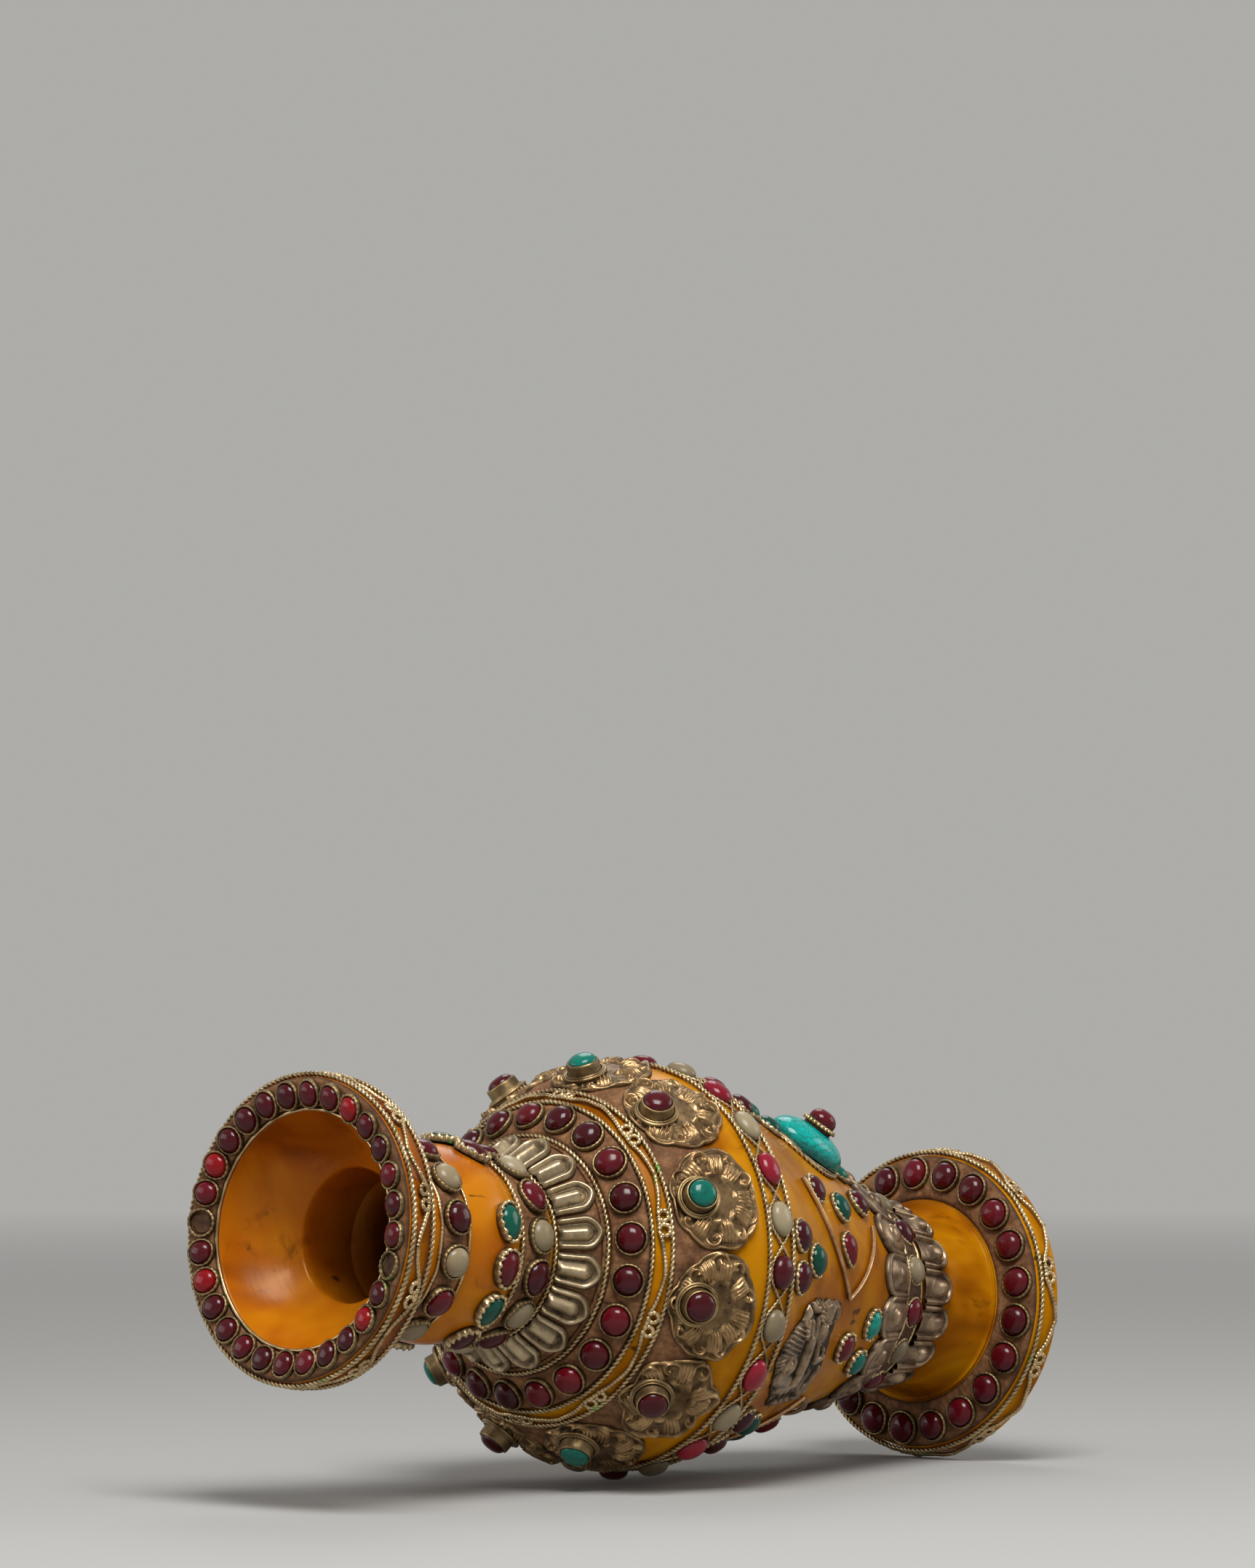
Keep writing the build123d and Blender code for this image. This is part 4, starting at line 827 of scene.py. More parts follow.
def make_wires():
    rope = {"twist": ROPE_TWIST, "pitch": ROPE_PITCH, "wobble": 0.12}
    waist_step = WAIST_STONE[0] + WAIST_WIRE_GAP
    shoulder_spots = seats(BAND_LOW, BAND_HIGH, 0.06, 0.92)
    shoulder_spots.append(arc_seat(BELLY_ARC, SHOULDER[1] - WIRE_W / 2, GAP))
    belly_spots = [arc_seat(BELLY_ARC, ROW_Z + step, GAP) for step in (ROW_WIRE_STEP, -ROW_WIRE_STEP)]
    ring_piece("mouth_rope_wires", "mouth_rim_wires", WIRE_W, seats(RIM_LOW, RIM_HIGH, 0.1, 0.9), **rope)
    ring_piece("mouth_lip_thin_wire", "mouth_lip_wire", FINE_WIRE_W, seats(RIM_HIGH, LIP, 0.94), wobble=0.06)
    ring_piece("neck_rope_wires", "neck_wires", FINE_WIRE_W, seats(NECK_LOW, NECK_HIGH, 0.02, 0.80),
               lumps=NECK_BEAD, wobble=0.25)
    ring_piece("collar_rope_wires", "collar_wires", WIRE_W, seats(COLLAR_LOW, COLLAR_HIGH, 0.05, 0.95),
               twist=ROPE_TWIST, pitch=ROPE_PITCH, wobble=0.15)
    ring_piece("shoulder_rope_wires", "shoulder_wires", WIRE_W, shoulder_spots, **rope)
    ring_piece("belly_rope_wires", "belly_wires", WIRE_W, belly_spots, **rope)
    ring_piece("waist_thin_wires", "waist_wires", FINE_WIRE_W,
               [cone_spot(WAIST_ROW_Z + side * waist_step) for side in (-1, 1)], wobble=0.45)
    ring_piece("foot_rope_wire", "foot_wire", WIRE_W, seats(FLOOR_EDGE, FOOT_TOP, 0.88), **rope)
    zigzag("mouth_zigzag", "mouth_zigzag_wire", RIM_LOW, RIM_HIGH, 0.22, 0.78, 1)
    zigzag("shoulder_zigzag", "shoulder_zigzag_wire", SHOULDER, BAND_LOW, 0.06, 0.92, -1)
    zigzag("foot_zigzag", "foot_zigzag_wire", FLOOR_EDGE, FOOT_TOP, 0.12, 0.74, -1)


def loop_points(cx, cy, radius):
    """Points round a small loop of wire, from its low side round to it again."""
    angles = np.linspace(pi, 3 * pi, 17)
    return [(cx + radius * cos(angle), cy + radius * sin(angle)) for angle in angles]


def zigzag(name, node, low, high, start, end, apex_side):
    """A fine beaded wire bent to and fro, with a pair of small loops between its points."""
    count, first = ZIGZAG_RING
    share = (start + end) / 2
    rise = ((end - start) * hypot(high[0] - low[0], high[1] - low[1]) - ZIGZAG_W) / 2
    pitch = 2 * pi / count * seat(low, high, share)[0]
    base, gap = CURL_R - rise, CURL_R * 1.15 + 0.35
    rng = np.random.default_rng(len(name))
    mesher = Mesher()
    for k in range(count):
        drape = band_drape(low, high, share, first + 360.0 / count * (k + 0.5))
        grow = 1 + rng.uniform(-0.1, 0.12, 2)
        path = [(rise, -pitch / 2), (0.55 * rise, -pitch * 0.36), (0.0, -pitch * 0.24)]
        path += [(base - CURL_R, -gap - 0.6)] + loop_points(base, -gap, CURL_R * grow[0])
        path += [(base - CURL_R * 0.9, -0.3), (base - CURL_R * 0.9, 0.3)]
        path += loop_points(base, gap, CURL_R * grow[1]) + [(base - CURL_R, gap + 0.6)]
        path += [(0.0, pitch * 0.24), (0.55 * rise, pitch * 0.36), (rise, pitch / 2)]
        path = np.array(path) * (apex_side, 1.0)
        travel = path_travel(path)
        steps = np.linspace(0, travel[-1], int(travel[-1] / 0.22))
        dense = np.stack([np.interp(steps, travel, path[:, axis]) for axis in (0, 1)], -1)
        soft = dense.copy()
        soft[2:-2] = sum(dense[i:len(dense) - 4 + i] for i in range(5)) / 5
        lift = GAP + ZIGZAG_LIFT + 0.12 * np.sin(steps * 0.8 + k)
        tube(mesher, drape(soft[:, 0], soft[:, 1], lift), ZIGZAG_R, sides=8, lumps=ZIGZAG_BEAD)
    mesher.piece(name, BRASS, node)


def path_travel(path):
    """The distance from a path's start to each of its points."""
    return np.concatenate([[0], np.cumsum(np.hypot(*np.diff(path, axis=0).T))])


# ---------------------------------------------------------------- pressed petals and leaves
PETAL_L, PETAL_W = 11.2, 8.6
LEAF_L, LEAF_W = 15.0, 11.4
FOOT_PETAL_L, FOOT_PETAL_W = 14.0, 8.8
PETAL_ROWS, PETAL_COLUMNS = 44, 34
LEAF_STAGGER = 0.25


def rounded(v, power):
    """A crown that is 1 in the middle and falls off steeply to 0 at distance 1."""
    return np.clip(1 - v ** power, 0, 1) ** 0.6


def u_relief(mesher, drape, length, width, profile, point, base, seed):
    """A pressed petal: profile(share, x, length) gives the height from its middle line out to its rim."""
    half = width / 2
    middle = (width - length) / 2
    straight = length / 2 - middle
    t = np.linspace(0, 2 * straight + pi * half, PETAL_ROWS)[:, None]
    share = np.linspace(0, 1, PETAL_COLUMNS)[None, :]
    arc = np.clip((t - straight) / half, 0, pi)
    back = middle + (t - straight - pi * half)
    x = np.where(t < straight, length / 2 - t, np.where(t > straight + pi * half, back, middle))
    x = x - share * half * np.sin(arc) * (1 + point * np.exp(-((arc - pi / 2) / 0.5) ** 2))
    y = share * half * np.cos(arc)
    h = base + profile(share, x, length) + 0.06 * np.sin(5 * x / width + seed) * share
    h = np.concatenate([h, np.zeros((PETAL_ROWS, 1))], 1)
    x, y = (np.concatenate([v, v[:, -1:]], 1) for v in (x, y))
    # Painted shade: petals and leaves are darkened towards their low places and round their edge.
    grime = np.clip(1.05 - h / max(0.1, h.max()) * 1.75, 0, 1)
    mesher.grid(drape(x, y, h), (seed * 0.31) % 1.0, grime, flip=True)


def lotus_profile(share, x, length):
    """A broad outer ridge and a wide puffed tongue inside it, with a narrow groove between them."""
    fade = np.clip((length / 2 - x) / 1.2, 0, 1) ** 0.5
    tongue = 2.1 * (0.5 + 0.5 * np.cos(pi * np.clip(share / 0.56, 0, 1))) ** 0.8
    outer = 1.35 * (0.5 + 0.5 * np.cos(pi * np.clip(np.abs(share - 0.78) / 0.27, 0, 1))) ** 0.8
    return 0.35 + (0.5 + 0.5 * fade) * np.maximum(tongue, outer)


def leaf_profile(share, x, length):
    """A knob in the middle of a broad puffed body, with a rolled rim round it."""
    knob = rounded((share / 0.42) ** 2 + ((x - 0.04 * length) / (0.24 * length)) ** 2, 1.1)
    body, rim = 1.5 * rounded(share / 0.72, 3), 1.35 * rounded(np.abs(share - 0.87) / 0.15, 2)
    return 0.35 + np.maximum(body + 1.3 * knob, rim)


def foot_petal_profile(share, x, length):
    """A raised oval seed on a broader bulging lobe with a rolled rim."""
    seed = rounded((share / 0.46) ** 2 + ((x + 0.12 * length) / (0.33 * length)) ** 2, 1.2)
    body, rim = 1.3 * rounded(share / 0.64, 3), 1.9 * rounded(np.abs(share - 0.80) / 0.2, 2.2)
    return 0.3 + np.maximum(body + 1.6 * seed, rim)


def petal_ring(name, finish, node, ring, length, width, profile, point, drape_at, bases=(0.0,)):
    """A ring of pressed petals; bases gives the lift of each in turn."""
    mesher = Mesher()
    for k, azimuth in enumerate(ring_places(ring)):
        u_relief(mesher, drape_at(azimuth), length, width, profile, point, bases[k % len(bases)], k)
    mesher.piece(name, finish, node)


def make_petals():
    clear = WAIST_STONE[0] + 2 * WAIST_WIRE_GAP + FINE_WIRE_W
    leaf_z, petal_z = WAIST_ROW_Z + clear + LEAF_L / 2, WAIST_ROW_Z - clear
    high, low = cone_spot(petal_z)[:2], (WAIST[0] + 0.8, petal_z - FOOT_PETAL_L)

    def lotus_drape(azimuth):
        return shifted(band_drape(BAND_HIGH, COLLAR_LOW, 0.5, azimuth), dh=THIN_PASTE_T + GAP)
    petal_ring("shoulder_lotus_petals", PEWTER, "shoulder_petals", PETAL_RING, 1.1 * PETAL_L, 1.09 * PETAL_W,
               lotus_profile, 0.16, lotus_drape)
    petal_ring("waist_puffed_leaves", DARK_PEWTER, "waist_leaves", LEAF_RING, 0.94 * LEAF_L, 1.12 * LEAF_W,
               leaf_profile, 0.04, lambda azimuth: cone_drape(leaf_z, azimuth, 180),
               (GAP, GAP + LEAF_STAGGER))
    petal_ring("foot_hanging_petals", DARK_PEWTER, "foot_petals", FOOT_PETAL_RING, 1.04 * FOOT_PETAL_L,
               1.2 * FOOT_PETAL_W, foot_petal_profile, 0.04,
               lambda azimuth: band_drape(low, high, 0.48, azimuth))


# ---------------------------------------------------------------- medallions
PLAQUE_HALF_LONG, PLAQUE_HALF_WIDE, PLAQUE_T = 13.0, 14.7, 1.5
COLLET_R, COLLET_H, COLLET_BASE_R, COLLET_SHIFT = 4.6, 3.8, 6.2, 5.8
PLAQUE_LIFT, LEAF_REACH, COLLET_SINK, PLAQUE_STONE_SINK = 0.45, 0.79, 0.3, 0.5
PLAQUE_BACK = (PLAQUE_HALF_LONG + WIRE_W + 0.4) / BELLY_ARC[2]
PLAQUE_TILT = asin((SHOULDER[1] - BELLY_ARC[1]) / BELLY_ARC[2]) - PLAQUE_BACK
PLAQUE_Z = BELLY_ARC[1] + (BELLY_ARC[2] + GAP) * sin(PLAQUE_TILT)
COLLET_Z = BELLY_ARC[1] + BELLY_ARC[2] * sin(PLAQUE_TILT + COLLET_SHIFT / BELLY_ARC[2])
COLLET_SPOT = arc_seat(BELLY_ARC, COLLET_Z, PLAQUE_T + 2 * GAP)


def medallion(mesher, azimuth, seed):
    """A pressed sheet: a ragged scalloped edge, curling leaves with fans between, a ring round the stone."""
    rng = np.random.default_rng(seed)
    lobes = int(rng.integers(8, 11))
    shift = rng.uniform(0, 2 * pi)
    ragged = [(int(rng.integers(2, 9)), rng.uniform(0, 2 * pi), rng.uniform(0.008, 0.022)) for _ in range(6)]
    bends = rng.uniform(0.7, 1.2, lobes)
    tilts = rng.uniform(-0.25, 0.25, lobes)

    def edge(a):
        grow = 0.985 + 0.05 * np.abs(np.sin(lobes / 2 * a + shift)) ** 0.7
        for turns, phase, size in ragged:
            grow = grow + size * np.sin(turns * a + phase)
        return PLAQUE_HALF_LONG * grow * np.cos(a), PLAQUE_HALF_WIDE * grow * np.sin(a)

    def leaf(x, y, spot, hand, size):
        """A curling leaf with a knob at its heart."""
        out = np.array((cos(spot), sin(spot)))
        centre = np.array((PLAQUE_HALF_LONG, PLAQUE_HALF_WIDE)) * out * LEAF_REACH
        u = (x - centre[0]) * out[0] + (y - centre[1]) * out[1]
        v = (y - centre[1]) * out[0] - (x - centre[0]) * out[1]
        rho, psi = np.hypot(u, v), np.arctan2(hand * v, u)
        crescent = np.exp(-((rho - size + 0.28 * psi) / 0.62) ** 2) * (0.55 + 0.45 * np.cos(psi - 0.6))
        knob = np.exp(-(((u + 0.2) ** 2 + (v - hand * 0.3) ** 2) / 0.75 ** 2))
        return np.maximum(1.25 * crescent, knob)

    def fan(x, y, spot, hand):
        """A folded fan that widens outward."""
        u = x * cos(spot) / PLAQUE_HALF_LONG + y * sin(spot) / PLAQUE_HALF_WIDE
        v = y * cos(spot) - x * sin(spot)
        fold = 0.5 + 0.5 * np.cos(2 * pi * v * (1.25 - 0.35 * u) + hand)
        window = np.clip(1 - (v / (0.9 + 2.3 * u)) ** 4, 0, 1) * np.exp(-((u - 0.66) / 0.2) ** 4)
        return window * (0.45 + 0.6 * fold ** 0.7 + 0.25 * u)

    def surface(share, a):
        x, y = PLAQUE_HALF_LONG * share * np.cos(a), PLAQUE_HALF_WIDE * share * np.sin(a)
        h = np.full_like(x, 0.15)
        for k in range(lobes):
            hand = 1 if k % 2 else -1
            spot = 2 * pi * (k + 0.5) / lobes - 2 * shift / lobes + tilts[k]
            h = np.maximum(h, leaf(x, y, spot, hand, 2.0 * bends[k]))
            h = np.maximum(h, fan(x, y, spot + pi / lobes, hand))
        rim = np.exp(-((share - 0.965) / 0.05) ** 2) * (0.7 + 0.3 * np.sin(lobes * a + 2 * shift))
        inner = np.exp(-((share - 0.47) / 0.07) ** 2) * (0.6 + 0.4 * np.cos(lobes * a + shift))
        h = np.maximum(np.maximum(h, 0.8 * rim), 0.7 * inner)
        dents = np.sin(0.9 * x + 1.3 * np.sin(0.8 * y + seed)) * np.sin(0.8 * y + 1.1 * np.sin(0.7 * x))
        return 0.35 + 1.5 * h + 0.1 * dents + 0.3 * (1 - share)

    # Painted shade: the sheet darkens in its low places between the raised leaves and fans.
    def grime(share, a):
        return np.clip(0.92 - (surface(share, a) - 0.35) * 0.85, 0, 1)

    drape = arc_drape(BELLY_ARC, PLAQUE_Z, azimuth)
    warp = rng.uniform(0, 2 * pi, 2)

    def lifted(x, y, h):
        buckle = 0.25 * np.sin(0.21 * x + warp[0]) * np.sin(0.19 * y + warp[1])
        return drape(x, y, h + PLAQUE_LIFT + buckle)
    polar_relief(mesher, lifted, edge, surface, 220, 72, rng.uniform(0, 1), -0.35, grime)


def collet(mesher, azimuth, seed):
    """An upright cup with two rings of wire round its base."""
    to_space = tangent(raised(COLLET_SPOT, -COLLET_SINK), azimuth)
    a = full_turn(72)
    uneven = 0.125 * np.sin(a + seed) + 0.06 * np.sin(3 * a + 2 * seed)
    foot = COLLET_BASE_R - COLLET_R
    # Painted shade: the rows at the cup's foot and inside its rim are darkened.
    rows = ((foot, -0.5, 1.0), (foot - 0.2, 0.7, 0.6), (0.5, 0.9, 0.9), (0.2, 1.8, 0.45),
            (0.1, COLLET_H + 0.2, 0.3), (-0.05, COLLET_H + 0.75, 0.05), (-0.35, COLLET_H + 0.8, 0.1),
            (-0.6, COLLET_H + 0.3, 0.9), (-0.9, COLLET_H - 0.6, 1.0))
    oval_wall(mesher, to_space, (COLLET_R, COLLET_R), rows, uneven, 3, (seed * 0.29) % 1)
    a = full_turn(150)
    for radius, height, width in ((COLLET_BASE_R - 0.35, 0.8, 0.55), (COLLET_R + 0.75, 1.35, 0.3)):
        ring = to_space(radius * np.cos(a), radius * np.sin(a), height)
        tube(mesher, ring, width, closed=True, sides=8)


def make_medallions():
    plaques, collets = Mesher(), Mesher()
    for k, azimuth in enumerate(ring_places(PLAQUE_RING)):
        medallion(plaques, azimuth, 60 + k)
        collet(collets, azimuth, k)
    plaques.piece("belly_medallions", COPPER_SHEET, "belly_plaques")
    collets.piece("medallion_collets", DULL_BRASS, "plaque_collets")
    spot = raised(COLLET_SPOT, COLLET_H)
    set_stones("medallion_greens", TURQUOISE, "plaque_turquoises", PLAQUE_STONE, spot,
               ring_places(PLAQUE_RING, PLAQUE_GREENS), lift=-PLAQUE_STONE_SINK, tones=(0.15, 0.3, 0.1, 0.4))
    set_stones("medallion_garnets", GARNET, "plaque_garnets", PLAQUE_STONE, spot,
               ring_places(PLAQUE_RING, others(PLAQUE_RING, PLAQUE_GREENS)), lift=-PLAQUE_STONE_SINK)


# ---------------------------------------------------------------- stones
# The edges of bezels on the cone
TOOTHED = {"rim": 0.6, "wall": 1.2, "bold": 1.8, "beads": 16}
HANGING = {"rim": 0.7, "wall": 1.4, "bold": 2.4, "beads": 15}
POINTED = {"rim": 0.6, "wall": 1.2, "tips": (0.35, 0.0), "turns": (90, -90)}

# Stones on the cone and belly: name, finish, CAD node, size, edge and rows of one height each
CONE_STONES = (
    ("cluster_wine_stones", GARNET, "cluster_garnets", CLUSTER_STONE, TOOTHED,
     (CLUSTER_Z, beside(CLUSTERS, 6.2))),
    ("cluster_green_cabochons", GREEN, "cluster_green_stones", CLUSTER_STONE, TOOTHED,
     (CLUSTER_TIP_Z, CLUSTERS)),
    ("side_green_cabochons", GREEN, "side_green_stones", SIDE_STONE, TOOTHED,
     (110.3, DOMES), (73.2, DOMES), (95.0, beside(DOMES, 33.0))),
    ("side_wine_stones", GARNET, "side_garnets", SIDE_STONE, TOOTHED,
     (110.0, beside(DOMES, 30.5)), (77.5, beside(DOMES, 23.8))),
    ("pendant_turquoise_cabochons", TURQUOISE, "pendant_turquoises", SIDE_STONE, HANGING,
     (75.0, beside(CREATURES, 9.3))),
    ("pendant_wine_stones", GARNET, "pendant_garnets", SIDE_STONE, HANGING, (88.5, CREATURES)),
    ("teardrop_wine_stones", GARNET, "v_drop_garnets", PENDANT_STONE, POINTED, (95.5, beside(DOMES, 49.0))))


def body_spot(z):
    """A seat on the cone, or on the belly above it."""
    return cone_spot(z) if z < CONE_TOP[1] else arc_seat(BELLY_ARC, z, GAP)


def make_mouth_stones():
    metal, red = Mesher(), Mesher()
    spot = seat(RIM_HIGH, LIP, MOUTH_SHARE, PASTE_T + GAP)
    dark = others(MOUTH_RING, EMPTY_MOUTH_PLACES + RED_MOUTH_PLACES)
    set_stones("mouth_wine_stones", GARNET, "mouth_garnets", MOUTH_STONE, spot, ring_places(MOUTH_RING, dark),
               metal, rope=False)
    for azimuth in ring_places(MOUTH_RING, RED_MOUTH_PLACES):
        cabochon(red, tangent(spot, azimuth), MOUTH_STONE, tone=0.5)
        bezel(metal, tangent(spot, azimuth), MOUTH_STONE, seed=int(azimuth) % 9)
    red.piece("mouth_red_stones", RED)
    for azimuth in ring_places(MOUTH_RING, EMPTY_MOUTH_PLACES):
        bezel(metal, tangent(spot, azimuth), MOUTH_STONE, seed=3)
    metal.piece("mouth_bezels", DULL_BRASS, "empty_mouth_cups")


def set_ring(bezels, metal_finish, ring, size, spot, groups, **edge):
    """A ring of stones; each group is its name, finish, CAD node, places and any tones."""
    metal = Mesher()
    for name, finish, node, keep, *tones in groups:
        set_stones(name, finish, node, size, spot, ring_places(ring, keep), metal, tones=tones, **edge)
    metal.piece(bezels, metal_finish)


def make_ring_stones():
    neck = seat(NECK_LOW, NECK_HIGH, NECK_SHARE, THIN_PASTE_T + GAP)
    drop = arc_seat(TORUS_ARC, TORUS_MID[1] - DROP_BELOW_TORUS, GAP)
    collar = seat(COLLAR_LOW, COLLAR_HIGH, COLLAR_SHARE, THIN_PASTE_T + GAP)
    band = seat(BAND_LOW, BAND_HIGH, BAND_SHARE, PASTE_T + GAP)
    foot = seat(FOOT_TOP, GROOVE, FOOT_SHARE, PASTE_T + GAP)
    set_ring("neck_bezels", DULL_BRASS, NECK_RING, NECK_STONE, neck, (
        ("neck_wine_stones", GARNET, "neck_garnets", others(NECK_RING, NECK_CREAMS + NECK_GREENS)),
        ("neck_cream_cabochons", CREAM, "neck_cream_stones", NECK_CREAMS),
        ("neck_green_cabochons", GREEN, "neck_green_stones", NECK_GREENS)), wall=1.5)
    set_ring("drop_bezels", BRASS, DROP_RING, DROP_STONE, drop, (
        ("drop_green_cabochons", GREEN, "drop_green_stones", DROP_GREENS),
        ("drop_wine_cabochons", GARNET, "drop_garnets", DROP_GARNETS)),
        tips=(0.14, 0.0), turns=(90,), wall=1.8, bold=2.6, beads=15)
    set_ring("collar_bezels", DULL_BRASS, COLLAR_RING, COLLAR_STONE, collar, (
        ("collar_wine_stones", GARNET, "collar_garnets", COLLAR_GARNETS, 0.9, 0.3, 0.5, 0.2, 0.6, 0.4, 0.1),
        ("collar_cream_cabochons", CREAM, "collar_cream_stones", COLLAR_CREAMS)), wall=1.5)
    set_ring("shoulder_bezels", DULL_BRASS, BAND_RING, BAND_STONE, band, (
        ("shoulder_wine_stones", GARNET, "shoulder_garnets", None),), wall=1.4, rim=0.9, rope=False)
    set_ring("foot_bezels", DULL_BRASS, FOOT_RING, FOOT_STONE, foot, (
        ("foot_wine_stones", GARNET, "foot_garnets", None),), wall=1.4, rim=0.9, rope=False)
    for name, finish, node, keep in (
            ("row_cream_cabochons", CREAM, "row_cream_stones", others(ROW_RING, ROW_PINKS + ROW_GARNETS)),
            ("row_wine_stones", GARNET, "row_garnets", ROW_GARNETS),
            ("row_pink_cabochons", PINK, "row_pink_stones", ROW_PINKS)):
        set_stones(name, finish, node, ROW_STONE, body_spot(ROW_Z), ring_places(ROW_RING, keep))
    frames = Mesher()
    for azimuth in ring_places(ROW_RING):
        row_frame(frames, azimuth)
    frames.piece("row_wire_frames", BRASS)
    set_ring("waist_bezels", BRASS, WAIST_RING, WAIST_CABOCHON, cone_spot(WAIST_ROW_Z), (
        ("waist_wine_stones", GARNET, "waist_garnets", others(WAIST_RING, WAIST_CREAMS)),
        ("waist_cream_cabochons", CREAM, "waist_cream_stones", WAIST_CREAMS)), rim=0.6, wall=1.0)


FRAME_R, FRAME_LIFT, FRAME_TWIST, FRAME_TIP = 0.5, 0.75, 1.5, 1.7


def row_frame(mesher, azimuth):
    """A twisted wire drawn round a row stone and pinched to a point on each side of it."""
    a = full_turn(90)
    pinch = np.abs(np.sin(a)) ** 6
    x = (ROW_STONE[0] + 0.55) * np.cos(a) * (1 - 0.55 * pinch)
    y = (ROW_STONE[1] + FRAME_R + FRAME_TIP * pinch) * np.sin(a)
    path = arc_drape(BELLY_ARC, ROW_Z, azimuth)(x, y, FRAME_LIFT)
    tube(mesher, path, FRAME_R, closed=True, sides=8, twist=FRAME_TWIST)


def make_cone_stones():
    metal = Mesher()
    for name, finish, node, size, edge, *rows in CONE_STONES:
        spots = [body_spot(z) for z, azimuths in rows for _ in azimuths]
        azimuths = [azimuth for _, row in rows for azimuth in row]
        set_stones(name, finish, node, size, spots, azimuths, metal, **edge)
    metal.piece("cone_bezels", BRASS)


DOME_LIFT, CUP_R, CUP_H = 0.6, 4.4, 1.7
COLLAR_ROPE_OUT, COLLAR_ROPE_LIFT, COLLAR_ROPE_R, COLLAR_ROPE_TWIST = 0.7, 0.55, 0.62, 1.9
BEADS, BEAD, BEAD_RING_R = 22, (0.72, 0.72, 1.3), 4.75
# How far each part stands over the dome's own height
CUP_LIFT, BEAD_LIFT, CREST_LIFT = 1.3, 1.75, 2.9
# The collar's wall: step out, height and darkening, painted shade at its foot and inner edge
COLLAR_WALL = ((0.75, 0.0, 1.0), (0.75, 0.9, 0.7), (0.35, 1.6, 0.5), (-0.1, 1.3, 1.0))


def make_domes():
    """The two large turquoises in their collars, each with a garnet on a beaded ring."""
    stone, metal, crest, cup = Mesher(), Mesher(), Mesher(), Mesher()
    half_long, half_wide, height = DOME_STONE
    a = full_turn(240)
    for k, azimuth in enumerate(DOMES):
        drape = cone_drape(DOME_Z, azimuth)
        cabochon(stone, dome_space(azimuth, DOME_LIFT), (half_long, half_wide, height + DOME_LIFT),
                 tone=0.45 + 0.2 * k, around=120, rings=26)
        x, y = (half_long + COLLAR_ROPE_OUT) * np.cos(a), (half_wide + COLLAR_ROPE_OUT) * np.sin(a)
        tube(metal, drape(x, y, COLLAR_ROPE_LIFT), COLLAR_ROPE_R, closed=True, twist=COLLAR_ROPE_TWIST)
        oval_wall(metal, drape, (half_long, half_wide), COLLAR_WALL, 0.22 * np.sin(5 * a + k), 0.5, 0.4)
        cabochon(crest, dome_space(azimuth, height + CREST_LIFT), CREST_STONE, tone=0.85, around=48, rings=14)
        polar_relief(cup, dome_space(azimuth, height + CUP_LIFT), oval(CUP_R, CUP_R),
                     lambda share, angle: CUP_H, rings=4, skirt=-0.3)
        for b in full_turn(BEADS):
            place = dome_space(azimuth, height + BEAD_LIFT)
            cabochon(cup, shifted(place, BEAD_RING_R * cos(b), BEAD_RING_R * sin(b)), BEAD, tone=0.5,
                     around=10, rings=5)
    stone.piece("turquoise_cabochon_domes", DOME_TURQUOISE, "turquoise_domes")
    metal.piece("dome_collars", BRASS, "dome_bezels")
    crest.piece("crest_red_stones", GARNET, "crest_garnets")
    cup.piece("crest_beaded_cups", BRASS, "crest_cups")


def dome_space(azimuth, height):
    """Maps local points to a height above the cone in the middle of a dome."""
    return tangent(raised(cone_spot(DOME_Z), height), azimuth)


# ---------------------------------------------------------------- bent wires and creatures
# Heights and swings from a dome: the wire's top, its apex, its bow and its end
V_ROUTE = ((118.0, 28.0), (94.7, 68.0), (82.5, 56.5), (73.0, 34.5))
V_WIRE_R, V_WIRE_LIFT = 0.68, 0.6


def make_v_wires():
    mesher = Mesher()
    radius, _, _ = cone_spot(DOME_Z)
    top, apex, bow, end = [(z - DOME_Z, radius * radians(swing)) for z, swing in V_ROUTE]
    route = np.vstack([np.linspace(top, apex, 60), arc_run(apex, bow, end, 60)])
    sway = 0.25 * np.sin(np.linspace(0, 9, len(route)))
    for dome in DOMES:
        for side in (-1, 1):
            drape = cone_drape(DOME_Z, dome)
            path = drape(route[:, 0] + sway, side * route[:, 1], 2 * GAP + V_WIRE_LIFT)
            tube(mesher, path, V_WIRE_R)
    mesher.piece("bent_wires", COPPER_WIRE, "v_wires")


# The creature's edge and features, in its own plane: x up the vase, y round it
CREATURE_MIDDLE = (1.5, 0.5)
CREATURE_EDGE = (
    (4.5, -16.2), (0.0, -15.6), (-6.5, -16.0), (-13.0, -15.2), (-15.4, -12.6), (-11.5, -9.4), (-8.2, -7.8),
    (-10.6, -5.0), (-12.2, 0.0), (-12.8, 3.0), (-14.2, 6.5), (-12.6, 11.0), (-13.2, 15.0), (-13.5, 19.2),
    (-9.0, 19.0), (-2.0, 17.6), (7.0, 17.2), (10.3, 12.5), (15.5, 7.6), (19.4, 3.2), (21.4, 0.0),
    (20.4, -3.2), (18.2, -5.8), (15.6, -8.3), (12.0, -10.2), (11.4, -12.6), (8.5, -15.2), (6.2, -14.9))
# Middle, half sizes and height: muzzle, eye, ears, mane, wing root, rosette, wing tip and haunch
CREATURE_MOUNDS = (
    (-5.8, -13.0, 6.2, 4.4, 2.2), (5.2, -14.6, 2.7, 2.6, 1.3), (11.6, -12.8, 2.9, 2.6, 1.6),
    (7.7, -16.2, 1.7, 1.6, 1.8), (-2.6, -6.4, 3.2, 3.6, 1.6), (13.8, -4.2, 6.4, 5.6, 1.0),
    (12.0, 2.4, 4.4, 3.2, 1.3), (19.0, 1.6, 3.4, 3.2, 0.8), (-8.6, 13.2, 3.4, 2.8, 1.5))
